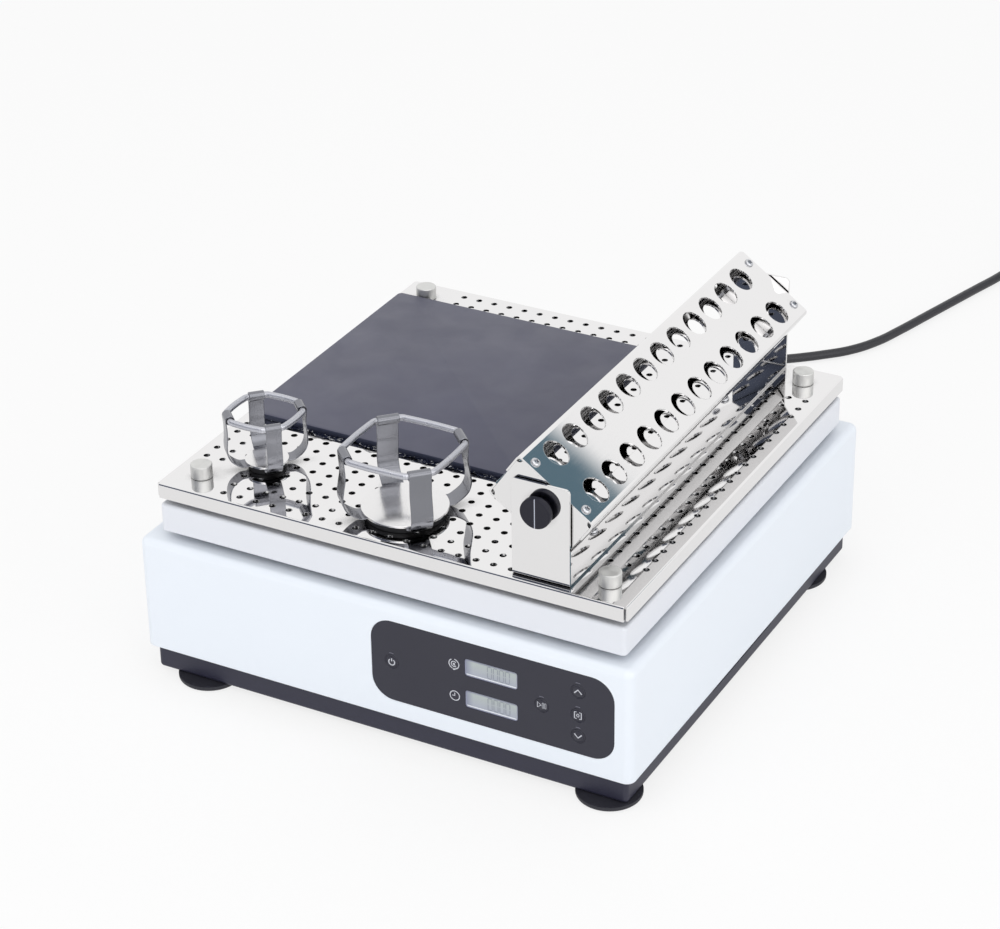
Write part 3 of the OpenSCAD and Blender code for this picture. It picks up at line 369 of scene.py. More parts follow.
def panel_film(name, rgb):
    """Polyester film printed on its back, hard-coated with a fine matt texture that
    spreads the sheen of the room over it."""
    mat = blank(name, Roughness=0.42, IOR=1.57)
    at = here(mat)
    cloud = noise(mat, at, per(50))
    # the real texture is 0.05 mm; drawn at 0.5 mm so that it shows
    cells = add(mat, "TexVoronoi", {"Vector": at, "Scale": per(0.5)}, feature="SMOOTH_F1").outputs[0]
    return finish(mat, rgb, 0.03, cloud, cloud, 0.38, 0.47, bump(mat, cells, 0.000008))


def ink_and_painted_light(name, rgb):
    """Screen-printed ink: matt and slightly uneven in density. The display windows also use this finish for
    painted shade and a painted highlight.
    """
    mat = blank(name, Roughness=0.6, IOR=1.5)
    tint(mat, rgb, 0.05, noise(mat, here(mat), per(0.6), 1.0))
    return mat


def display_glass(name, rgb):
    """Reflective liquid crystal glass, unlit: grey-green, darker and bluer towards the lower edge
    where it mirrors the bench, under a smooth clear cover."""
    mat = blank(name, Roughness=0.16, IOR=1.52)
    run = run_of(mat)
    across, up, _ = add(mat, "SeparateXYZ", {0: run}).outputs
    fall = add(mat, "ValToRGB", {0: up})
    low, high = fall.color_ramp.elements
    low.position, low.color = 0.0, solid("#A9ADBD")
    high.position, high.color = 0.75, shade(rgb, 1)
    cells = add(mat, "TexBrick", {"Vector": run, "Scale": 30.0, "Color1": WHITE,
                                  "Color2": (0.97, 0.97, 0.97, 1), "Mortar": (0.93, 0.93, 0.94, 1)})
    mix = blend(mat, 1.0, fall.outputs[0], cells.outputs[0], blend_type="MULTIPLY")
    # the window's own wall shades the left end
    near = spread_of(mat, across, 1.0, 0.0, 0.0, 0.14)
    join(mat, "Base Color", blend(mat, near, mix, solid("#8E93A6")))
    return mat


def circuit_board(name, rgb):
    """Glass-epoxy laminate under green solder mask, with a faint weave and pale pads."""
    mat = blank(name, Roughness=0.35, IOR=1.55)
    at = here(mat)
    pads = add(mat, "TexVoronoi", {"Vector": at, "Scale": per(6)}, distance="CHEBYCHEV").outputs[0]
    join(mat, "Base Color", blend(mat, spread_of(mat, pads, 1.0, 0.0, 0.08, 0.12), shade(rgb, 1),
                                  solid("#C9B27A")))
    join(mat, "Normal", bump(mat, noise(mat, at, per(0.6)), 0.00002, 0.4))
    return mat


def dress(mat, *nodes):
    """Gives CAD nodes a finish."""
    for node in nodes:
        slots = NODES[node].data.materials
        slots.clear()
        slots.append(mat)


# ---------------------------------------------------------------- shapes, drawn in mm of the shared frame
def smooth(points, n):
    """Points on a curve through the given ones, n to each span."""
    last, out = len(points) - 1, []
    for i in range(last):
        a, b = points[max(i - 1, 0)], points[i]
        c, d = points[i + 1], points[min(i + 2, last)]
        for k in range(n):
            t = k / n
            out.append(0.5 * (2 * b + (c - a) * t + (2 * a - 5 * b + 4 * c - d) * t * t
                              + (3 * b - a - 3 * c + d) * t ** 3))
    return out + [points[last]]


def arc(cx, cy, r, start, stop, n):
    """Points of an arc, angles in degrees."""
    return [(cx + r * math.cos(math.radians(start + (stop - start) * k / n)),
             cy + r * math.sin(math.radians(start + (stop - start) * k / n))) for k in range(n + 1)]


def circle(r, n):
    """Points of a full circle about zero."""
    return arc(0, 0, r, 0, 360 - 360 / n, n - 1)


def round_rect(cx, cy, w, h, r, n):
    """Outline of a rectangle with round corners."""
    out = []
    for sx, sy, a in ((1, 1, 0), (-1, 1, 90), (-1, -1, 180), (1, -1, 270)):
        out += arc(cx + sx * (w / 2 - r), cy + sy * (h / 2 - r), r, a, a + 90, n)
    return out


def oblong(x, z, wide, high):
    """Corners of a rectangle that reaches this far either side of its middle."""
    return [(x + sx * wide, z + sz * high) for sx, sz in ((1, -1), (1, 1), (-1, 1), (-1, -1))]


def upright(outline, y):
    """An outline drawn on the front or back of the housing, at depth y."""
    return [Vector((x, y, z)) for x, z in outline]


def level(outline, at, z=0):
    """An outline laid flat at height z above the point at."""
    return [at + Vector((x, y, z)) for x, y in outline]


def on_tray(x, y, z=0):
    """A point of the tray, from the middle of the table and up from the sheet."""
    return TABLE_AT + Vector((x, y, TRAY_Z + z))


def walked(points):
    """Distance in metres along a line of points and back to the first."""
    out = [0.0]
    for a, b in zip(points, points[1:] + points[:1]):
        out.append(out[-1] + (Vector(b) - Vector(a)).length * 0.001)
    return out


def skin(bm, rows, mat=0, closed=False, ring=True, ends=(False, False), u=None, v=None, flip=False):
    """Faces from row to row, with the 'run' map holding the distance along (u) and around (v)."""
    run = bm.loops.layers.uv.get("run") or bm.loops.layers.uv.new("run")
    verts = [[bm.verts.new(p) for p in row] for row in rows]
    n, m = len(rows[0]), len(rows)
    u = u or walked([row[0] for row in rows])
    v = v or [k / n for k in range(n + 1)]
    for i in range(m if closed else m - 1):
        for k in range(n if ring else n - 1):
            j, q = (i + 1) % m, (k + 1) % n
            corners = [(verts[i][k], i, k), (verts[i][q], i, k + 1),
                       (verts[j][q], i + 1, k + 1), (verts[j][k], i + 1, k)]
            if flip:
                corners.reverse()
            face = bm.faces.new([c[0] for c in corners])
            face.material_index = mat
            for loop, (_, iu, kv) in zip(face.loops, corners):
                loop[run].uv = (u[iu], v[min(kv, len(v) - 1)])
    for end, row, turn in ((ends[0], verts[0], True), (ends[1], verts[-1], False)):
        if end:
            face = bm.faces.new(row[::-1] if turn != flip else row)
            face.material_index = mat


def turned(bm, profile, at, axis, mat=0, steps=64):
    """A piece turned on a lathe: profile of (radius, height) from one end to the other."""
    spin = axis.normalized().to_track_quat("Z", "Y").to_matrix()
    profile = [(max(r, AXIS_R), h) for r, h in profile]
    rows = [[at + spin @ Vector((x, y, h)) for x, y in circle(r, steps)] for r, h in profile]
    skin(bm, rows, mat, u=walked(profile), ends=(True, True))


def round_over(profile, r, n=3):
    """A lathe profile with its corners rounded."""
    out = [profile[0]]
    for a, b, c in zip(profile, profile[1:], profile[2:]):
        a, b, c = Vector(a), Vector(b), Vector(c)
        back, on = a - b, c - b
        cut = min(r, back.length * 0.45, on.length * 0.45)
        p, q = b + back.normalized() * cut, b + on.normalized() * cut
        for k in range(n + 1):
            t = k / n
            out.append(tuple((1 - t) ** 2 * p + 2 * t * (1 - t) * b + t * t * q))
    return out + [profile[-1]]


def drawn_in(line, by):
    """An outline with each point moved this far towards its middle."""
    points = [Vector(p) for p in line]
    middle = sum(points, Vector((0, 0))) / len(points)
    return [tuple(p - by * (p - middle).normalized()) for p in points]


def plate(bm, outline, y0, y1, chamfer, holes):
    """An upright plate from its face at y0 to its back at y1, with a chamfered face and open holes."""
    faces = [drawn_in(outline, chamfer)] + [drawn_in(hole, -chamfer) for hole in holes]
    for k, (face, line) in enumerate(zip(faces, [outline, *holes])):
        skin(bm, [upright(face, y0), upright(line, y0 + chamfer), upright(line, y1)], flip=k > 0)
    cover_flat(bm, faces, y0)


def cover_flat(bm, lines, y):
    """A flat upright face, filled between its outline and its holes."""
    flat = bmesh.new()
    edges = []
    for line in lines:
        verts = [flat.verts.new(p) for p in upright(line, y)]
        edges += [flat.edges.new((verts[i - 1], verts[i])) for i in range(len(verts))]
    bmesh.ops.triangle_fill(flat, use_beauty=True, use_dissolve=False, edges=edges)
    merge(bm, flat)
    flat.free()


def merge(bm, other, matrix=Matrix.Identity(4), mat=0):
    """Adds a finished shape to another, moved by matrix."""
    spare = bpy.data.meshes.new("spare")
    other.to_mesh(spare)
    spare.transform(matrix)
    before = len(bm.faces)
    bm.from_mesh(spare)
    bm.faces.ensure_lookup_table()
    for face in bm.faces[before:]:
        face.material_index = mat
    bpy.data.meshes.remove(spare)


def ribbon(bm, points, width, y, mat, closed=False):
    """A printed line: a flat strip of even width through points of the panel, facing the front."""
    n, sides = len(points), ([], [])
    for i, p in enumerate(points):
        before = points[i - 1] if i or closed else p
        after = points[(i + 1) % n] if i < n - 1 or closed else p
        h = Vector((after[0] - before[0], after[1] - before[1])).normalized()
        for side, s in zip(sides, (-1, 1)):
            side.append(Vector((p[0] - s * h.y * width / 2, y, p[1] + s * h.x * width / 2)))
    rows = [list(pair) for pair in zip(*sides)]
    skin(bm, rows, mat, closed=closed, ring=False, flip=True)


def swept(bm, path, normals, section, closed=False):
    """A section of (across, through) points carried along a path; normals give its through direction."""
    rows, m = [], len(path)
    for i, p in enumerate(path):
        ahead = path[(i + 1) % m] if closed or i < m - 1 else p
        behind = path[i - 1] if closed or i else p
        heading = (ahead - behind).normalized()
        through = (normals[i] - heading * normals[i].dot(heading)).normalized()
        across = heading.cross(through)
        rows.append([p + across * a + through * t for a, t in section])
    skin(bm, rows, closed=closed, u=walked(path), v=walked(section), ends=(not closed, not closed))


def flat_section(w, t, r):
    """Section of a strip with eased edges."""
    return [(sx * (w / 2 - dx), sy * (t / 2 - dy)) for sx, sy, dx, dy in
            ((1, 1, r, 0), (-1, 1, r, 0), (-1, 1, 0, r), (-1, -1, 0, r),
             (-1, -1, r, 0), (1, -1, r, 0), (1, -1, 0, r), (1, 1, 0, r))]


def made(name, bm):
    """An object in the scene from a drawn shape, which is used up."""
    mesh = bpy.data.meshes.new(name)
    bm.to_mesh(mesh)
    bm.free()
    obj = bpy.data.objects.new(name, mesh)
    bpy.context.scene.collection.objects.link(obj)
    return obj


def piece(name, bm, mats, node, angle=32, replaces=True):
    """Finishes a shape drawn in mm as an object that moves with a CAD node and may stand for it."""
    bmesh.ops.recalc_face_normals(bm, faces=bm.faces)
    bmesh.ops.transform(bm, matrix=Matrix.Scale(0.001, 4), verts=bm.verts)
    obj = made(name, bm)
    mesh = obj.data
    for mat in mats:
        mesh.materials.append(mat)
    mesh.polygons.foreach_set("use_smooth", [True] * len(mesh.polygons))
    mesh.set_sharp_from_angle(angle=math.radians(angle))
    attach(obj, body_of(NODES[node])[0])
    if replaces:
        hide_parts(node)
    return obj


def turned_piece(name, profile, at, axis, mat, node, angle=32, steps=64):
    """A piece that is one turned shape of one material."""
    bm = bmesh.new()
    turned(bm, profile, at, axis, steps=steps)
    piece(name, bm, [mat], node, angle)


def cross_head(d, h, r):
    """Head of a cross-recess pan screw, seat at zero, drawn once and stamped where it is needed."""
    bm = bmesh.new()
    turned(bm, round_over([(0, 0), (d / 2, 0), (d / 2, h * 0.45), (d * 0.36, h * 0.86), (0, h)], r, 5),
           Vector(), UP, steps=48)
    arm, reach = d * 0.085, d * 0.3
    outline = [(reach, -arm), (reach, arm), (arm, arm), (arm, reach), (-arm, reach), (-arm, arm),
               (-reach, arm), (-reach, -arm), (-arm, -arm), (-arm, -reach), (arm, -reach), (arm, -arm)]
    tool = bmesh.new()
    rows = [[Vector((x * k, y * k, z)) for x, y in outline] for z, k in ((h + 1, 1.12), (h * 0.35, 0.72))]
    skin(tool, rows, ends=(True, True))
    for shape in (bm, tool):
        bmesh.ops.recalc_face_normals(shape, faces=shape.faces)
    solids = [made("head", bm), made("cutter", tool)]
    cut = solids[0].modifiers.new("recess", "BOOLEAN")
    cut.operation, cut.object, cut.solver = "DIFFERENCE", solids[1], "EXACT"
    graph = bpy.context.evaluated_depsgraph_get()
    out = bmesh.new()
    done = solids[0].evaluated_get(graph)
    out.from_mesh(done.to_mesh())
    done.to_mesh_clear()
    for solid in solids:
        mesh = solid.data
        bpy.data.objects.remove(solid)
        bpy.data.meshes.remove(mesh)
    return out


def along(at, axis, spin):
    """Matrix that stands a shape drawn on Z on the point at, along axis."""
    turn = axis.normalized().to_track_quat("Z", "Y").to_matrix().to_4x4()
    return Matrix.Translation(at) @ turn @ Matrix.Rotation(spin, 4, "Z")


# ---------------------------------------------------------------- pieces
def settings(context):
    return context.scene.shaker_sizes, context.scene.shaker_colours


class SHAKER_OT_stage(bpy.types.Operator):
    """Sets the camera, the pale bench, the soft lamps and the white room"""
    bl_idname = "shaker.stage"
    bl_label = "Camera, bench and lamps"
    bl_options = {"REGISTER", "UNDO"}

    def execute(self, context):
        scene = context.scene
        lens = bpy.data.cameras.new("camera")
        lens.lens, lens.sensor_width, lens.sensor_fit = 107.22746917, 36.0, "HORIZONTAL"
        lens.clip_start, lens.clip_end = 0.05, 60
        camera = bpy.data.objects.new("camera", lens)
        camera.location = (0.8131688, -1.4980225, 1.0624455)
        camera.rotation_euler = [math.radians(a) for a in (60.8566172, 0.78452095, 28.26865333)]
        scene.collection.objects.link(camera)
        scene.camera = camera
        scene.view_settings.view_transform = "Standard"

        floor = bmesh.new()
        floor.faces.new([floor.verts.new(p) for p in level(oblong(0, 0, 6, 6), Vector())])
        bench = made("bench", floor)
        bench.location.z = -0.0004      # just clear of the feet
        bench.data.materials.append(self.bench_paper())

        aim = Vector((0, 0, 0.1))
        for name, power, spot, width, height in (
                ("key_softbox", 9, (-1.5, -2.6, 1.1), 2.4, 1.8),
                ("side_softbox", 12, (2.6, -0.7, 1.1), 2.2, 1.8),
                ("high_softbox", 17.5, (0.5, -1.5, 2.3), 2.6, 2.6)):
            lamp = bpy.data.lights.new(name, "AREA")
            lamp.shape, lamp.size, lamp.size_y, lamp.energy = "RECTANGLE", width, height, power
            obj = bpy.data.objects.new(name, lamp)
            obj.location = spot
            obj.rotation_euler = (aim - Vector(spot)).to_track_quat("-Z", "Y").to_euler()
            # polished sheet edges would mirror the front lamp as hard white lines
            obj.visible_glossy = name != "key_softbox"
            scene.collection.objects.link(obj)
        scene.world = self.white_room()
        return {"FINISHED"}

    def bench_paper(self):
        """Seamless white paper: nearly white by its own colour, and still a little darker in shadow."""
        mat = bpy.data.materials.new("seamless paper")
        mat.use_nodes = True
        nodes, links = mat.node_tree.nodes, mat.node_tree.links
        nodes.remove(shader_of(mat))
        pale = blend(mat, noise(mat, here(mat), per(3)), (0.90, 0.90, 0.90, 1), (0.93, 0.93, 0.93, 1))
        paper = add(mat, "BsdfDiffuse", {"Color": pale})
        # full white to the eye, a little less in mirrors so that bent sheet keeps its shading
        straight = add(mat, "LightPath").outputs["Is Camera Ray"]
        glow = add(mat, "Emission", {"Color": WHITE, "Strength": spread_of(mat, straight, 0.9, 1.0, 0, 1)})
        lit = maths(mat, "MULTIPLY", self.seen_straight(mat), 0.78)
        both = add(mat, "MixShader", {0: lit, 1: paper.outputs[0], 2: glow.outputs[0]})
        links.new(both.outputs[0], nodes["Material Output"].inputs[0])
        return mat

    def seen_straight(self, mat):
        """One for rays that reach the eye directly, mirrored or through glass; zero for light."""
        rays = add(mat, "LightPath").outputs
        either = maths(mat, "MAXIMUM", rays["Is Camera Ray"], rays["Is Glossy Ray"])
        return maths(mat, "MAXIMUM", either, rays["Is Transmission Ray"])

    def white_room(self):
        """Pale walls all round: white to the eye and in mirrors, softer as a lamp."""
        world = bpy.data.worlds.new("pale room")
        world.use_nodes = True
        back, links = world.node_tree.nodes["Background"], world.node_tree.links
        rays = add(world, "LightPath").outputs
        towards = add(world, "TexCoord").outputs["Generated"]

        def facing(x, y, z):
            """How nearly a ray looks in this direction, up to one."""
            return add(world, "VectorMath", {0: towards, 1: Vector((x, y, z)).normalized()},
                       operation="DOT_PRODUCT").outputs["Value"]

        # a dim doorway high on the front left is what gives straps and polished sheet their darks
        doorway = facing(-0.42, -0.77, 0.48)
        wall = add(world, "MapRange", {"Value": doorway, "From Min": 0.83, "From Max": 0.95,
                                       "To Min": 1.0, "To Max": 0.16}, interpolation_type="SMOOTHSTEP")
        mirrored = spread_of(world, self.seen_straight(world), 0.76, wall.outputs[0], 0, 1)
        power = add(world, "Mix", {0: rays["Is Camera Ray"], 2: mirrored, 3: 1.0}, data_type="FLOAT")
        links.new(power.outputs[0], back.inputs["Strength"])
        # the doorway is a cool grey, which tints the darks in straps and sheet
        cool = spread_of(world, doorway, 0.0, rays["Is Glossy Ray"], 0.83, 0.94)
        side = blend(world, cool, WHITE, solid("#BCC9EA"))
        # a blue-grey cabinet high on the far right: the near end of the tilted rack mirrors it
        inside = spread_of(world, facing(0.42, 0.62, 0.66), 0, 1, 0.9738, 0.9752)
        cabinet = maths(world, "MULTIPLY", inside, rays["Is Glossy Ray"])
        links.new(blend(world, cabinet, side, solid("#5E7683")), back.inputs["Color"])
        return world


class SHAKER_OT_cord(bpy.types.Operator):
    """Adds the mains cord with its gland, coil, tie and plug"""
    bl_idname = "shaker.cord"
    bl_label = "Mains cord"
    bl_options = {"REGISTER", "UNDO"}

    def execute(self, context):
        sizes, colours = settings(context)
        sheath = moulded("PVC sheath", colours.cord, 0.5, 0.42, 0.000012, 1.53)
        nylon = moulded("glass-filled nylon", linear("#1E1E22"), 0.35, 0.45)
        pins = turned_metal("nickel-plated brass", linear("#C9C6BC"), 0.22)
        route = self.route()
        curve = bpy.data.curves.new("mains_cord_lead", "CURVE")
        curve.dimensions, curve.bevel_depth = "3D", sizes.cord_d / 2
        curve.bevel_resolution, curve.resolution_u = 6, 5
        curve.use_fill_caps = True
        line = curve.splines.new("BEZIER")
        line.bezier_points.add(len(route) - 1)
        for spot, place in zip(line.bezier_points, route):
            spot.co = place * 0.001
            spot.handle_left_type = spot.handle_right_type = "AUTO"
        curve.materials.append(sheath)
        cord = bpy.data.objects.new("mains_cord_lead", curve)
        context.scene.collection.objects.link(cord)
        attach(cord, body_of(NODES["mains_cord"])[0])
        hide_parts("mains_cord", "cord_coil")

        self.gland(nylon)
        tie = self.tie(nylon)
        plug = self.plug(sheath, pins)
        return {"FINISHED"}

    def route(self):
        """The cord's line from the gland over the bench, round the coil and on to the plug."""
        flat = 3.55
        loose = [(-67, 206, 45), (-67, 211, 45), (-67, 220, 44), (-67, 230, 40.2), (-66.5, 241, 32),
                 (-66, 252, 21.5), (-65, 263, 12), (-62.5, 276, 6.0), (-59, 292, flat + 0.4),
                 (-52, 315, flat + 0.1), (-39, 345, flat), (-21, 375, flat), (3, 404, flat),
                 (25, 421, flat), (43, 437, flat), (58, 453, flat), (71, 476, flat), (80, 503, flat),
                 (89, 535, flat), (98, 567, flat), (107, 599, flat), (115, 627, flat),
                 (122, 658, flat + 0.4), (125, 673, 4.8), (125, 690, 4.8), (125, 704, 4.8)]
        outer, inner, low, step = 43.48, 36.5, 3.5, 7

        def ease(u, start, stop):
            t = min(1, max(0, (u - start) / (stop - start)))
            return t * t * (3 - 2 * t)

        coil = []
        for k in range(int(4.5 * 24) + 1):
            u = k / 24
            r = outer + (inner - outer) * ease(u, 1 - 60 / 360, 1 - 8 / 360)
            r += (outer - inner) * ease(u, 3 - 190 / 360, 3 - 130 / 360)
            z = low + step * (ease(u, 2 - 130 / 360, 2 - 70 / 360) + ease(u, 4 - 250 / 360, 4 - 190 / 360))
            a = math.radians(180 - 360 * u)
            coil.append(COIL_AT + Vector((r * math.cos(a), r * math.sin(a), z)))
        tail = [(212, 704, 18.8), (212, 690, 18.8), (212, 678, 18.2), (212, 664, 17.1), (212, 652, 16.6)]
        return [Vector(p) for p in loose] + coil + [Vector(p) for p in tail]

    def gland(self, nylon):
        """Strain relief: hex nut inside, flange, and a ribbed taper, drawn straight; the real taper bends
        with the cord.
        """
        bm = bmesh.new()
        taper = [(7, -6.5), (7, 0), (10.5, 0), (10.5, 3), (8.5, 3.05)]
        for z in (9, 15, 21, 27):
            r = 8.5 - 3.25 * (z - 3) / 28
            taper += [(r, z), (4.9, z + 0.1), (4.9, z + 2.3), (r - 0.25, z + 2.4)]
        taper += [(5.3, 31), (3.4, 31)]
        turned(bm, round_over([(0, -6.5), *taper, (0, 31)], 0.35, 2), GLAND_AT, BACK, steps=48)
        nut = arc(GLAND_AT.x, GLAND_AT.z, 10, 0, 300, 5)
        skin(bm, [upright(nut, GLAND_AT.y + y) for y in (-6.5, -2.5)], ends=(True, True))
        piece("cable_gland_relief", bm, [nylon], "cable_gland")

    def tie(self, nylon):
        """Hook-and-loop strap around one side of the coil."""
        bm = bmesh.new()
        at = COIL_AT + Vector((0, 40, 10.5))
        around = [Vector((0, y, z)) for y, z in round_rect(0, 0, 15.6, 22.6, 3.4, 6)]
        swept(bm, [at + p for p in around], [p.normalized() for p in around], flat_section(9, 0.8, 0.2),
              closed=True)
        return piece("cord_tie_strap", bm, [nylon], "cord_tie")

    def plug(self, sheath, pins):
        """Two-pin earthed plug moulded on the cord: relief, ribbed grip, face with flats and two pins."""
        bm = bmesh.new()

        flat = 16.5                     # from the middle to the flats above and below

        def ring(r, h):
            """A circle of radius r, cut by the flats, h from the cord's end."""
            return [PLUG_AT + Vector((x, -h, max(-flat, min(flat, z)))) for x, z in circle(r, 64)]

        rows = [ring(3.6, 0), ring(5.2, 0.3), ring(5.4, 11.4), ring(7.4, 12.0)]
        for k in range(14):
            h = 12.6 + k * 1.85
            r = 7.5 + 10 * (h - 12) / 26
            groove = 1.1 if 4 <= k <= 10 and k % 2 == 0 else 0
            rows.append(ring(r - groove, h))
        rows += [ring(r, h) for r, h in ((17.6, 38), (18.6, 38.2), (19, 38.8), (19, 52.2), (18.5, 52.9),
                                         (17.4, 53))]
        skin(bm, rows, ends=(True, True))
        for s in (-1, 1):
            turned(bm, [(0, 0), (2.4, 0), (2.4, 17.2), (2.0, 18.4), (1.1, 19), (0, 19)],
                   PLUG_AT + Vector((s * 9.5, -53, 0)), FRONT, mat=1, steps=24)
        return piece("mains_plug_body", bm, [sheath, pins], "mains_plug")


class SHAKER_OT_housing(bpy.types.Operator):
    """Finishes the housing, its base pan and feet, the moving table and the drive inside"""
    bl_idname = "shaker.housing"
    bl_label = "Housing, table and drive"
    bl_options = {"REGISTER", "UNDO"}

    def execute(self, context):
        sizes, colours = settings(context)
        dress(powder_coat("white powder coat", colours.cover, sizes.peel, 0.36), "housing_cover")
        pan = powder_coat("charcoal powder coat", colours.pan, sizes.peel * 0.7, 0.45, 0.00002)
        dress(pan, "base_pan")
        coat = powder_coat("off-white powder coat", colours.table, sizes.peel, 0.36)
        self.painted_shade_deck(coat)
        dress(coat, "table_plate")
        dress(moulded("nitrile rubber", linear("#26262F"), 0.6, 0.6, 0.00003, 1.52), "feet")
        zinc = satin_steel("zinc-plated steel", linear("#B9BCC2"), 0.32)
        dress(zinc, "foot_screws", "chassis_plate", "tray_spacers")
        cast = satin_steel("cast aluminium", linear("#A5A7AB"), 0.45, 1.2)
        dress(cast, "power_supply", "motor_pulley", "drive_pulley", "bearing_housing", "idler_posts",
              "table_hubs")
        ground = satin_steel("ground steel", linear("#8E9095"), 0.28, 0.3)
        dress(ground, "drive_crank", "counterweight", "main_bearings", "table_bearings",
              *[f"idler_crank_{i}" for i in (1, 2, 3, 4)])
        dress(moulded("motor enamel", linear("#3C3E44"), 0.8, 0.4), "drive_motor")
        dress(moulded("neoprene belt", linear("#1B1B1D"), 0.5, 0.65, 0.00003), "drive_belt")
        dress(circuit_board("solder-masked laminate", linear("#1F4A35")), "control_board")
        return {"FINISHED"}

    def painted_shade_deck(self, coat):
        """Paints the top of the table near black under the tray: painted shade, which is what the tray's
        holes show.
        """
        paint = shader_of(coat).inputs["Base Color"].links[0].from_socket
        spot = add(coat, "VectorMath", {0: here(coat), 1: -0.001 * TABLE_AT}, operation="ADD").outputs[0]
        size_of = add(coat, "VectorMath", {0: spot}, operation="ABSOLUTE").outputs[0]
        x, y, z = add(coat, "SeparateXYZ", {0: size_of}).outputs
        # the square inside the tray's rim, and the flat top only
        inner = maths(coat, "LESS_THAN", maths(coat, "MAXIMUM", x, y), 0.142)
        both = maths(coat, "MULTIPLY", inner, maths(coat, "GREATER_THAN", z, 0.1265))
        # painted shade: near black on the deck inside the tray's rim
        join(coat, "Base Color", blend(coat, both, paint, solid("#16161A")))


# Printed signs of the panel, each line as its points, its width in icon lines and whether it is closed
SIGNS = {
    "speed": [(arc(0, 0, 3.45, 118, 445, 40), 1, False), (arc(0, 0, 1.85, 40, 320, 24), 0.9, False),
              ([(1.3, -2.2), (1.35, -1.05), (0.3, -1.2)], 0.8, False),
              (arc(0, 0, 0.45, 0, 345, 15), 1.077, True),
              ([(-1.2, -3.3), (-0.2, -4.15), (0.9, -3.7)], 1, False)],
    "time": [(arc(0, 0, 3.3, 0, 352.5, 47), 1, True), ([(0, 2.1), (0, 0), (-1.7, 0)], 1, False)],
    "power": [(arc(0, -0.3, 2.1, 125, 415, 36), 1.15, False), ([(0, 2.4), (0, 0.2)], 1.15, False)],
    "start": [([(-2.9, -1.9), (-2.9, 1.9), (-0.3, 0)], 1, True),
              *[(round_rect(x, 0, 0.95, 3.6, 0.3, 3), 0.42, True) for x in (0.9, 2.5)]],
    "up": [([(-2.5, -1.3), (0, 1.3), (2.5, -1.3)], 1.2, False)],
    "down": [([(-2.5, 1.3), (0, -1.3), (2.5, 1.3)], 1.2, False)],
    "enter": [line for s in (-1, 1) for line in (
        ([(s * 0.9, 2.3), (s * 2.3, 2.3), (s * 2.3, -2.3), (s * 0.9, -2.3)], 1, False),
        ([(s * 0.2, s * 1.2), (s * 0.9, 0), (s * 0.2, s * -1.2)], 0.8, False))],
}


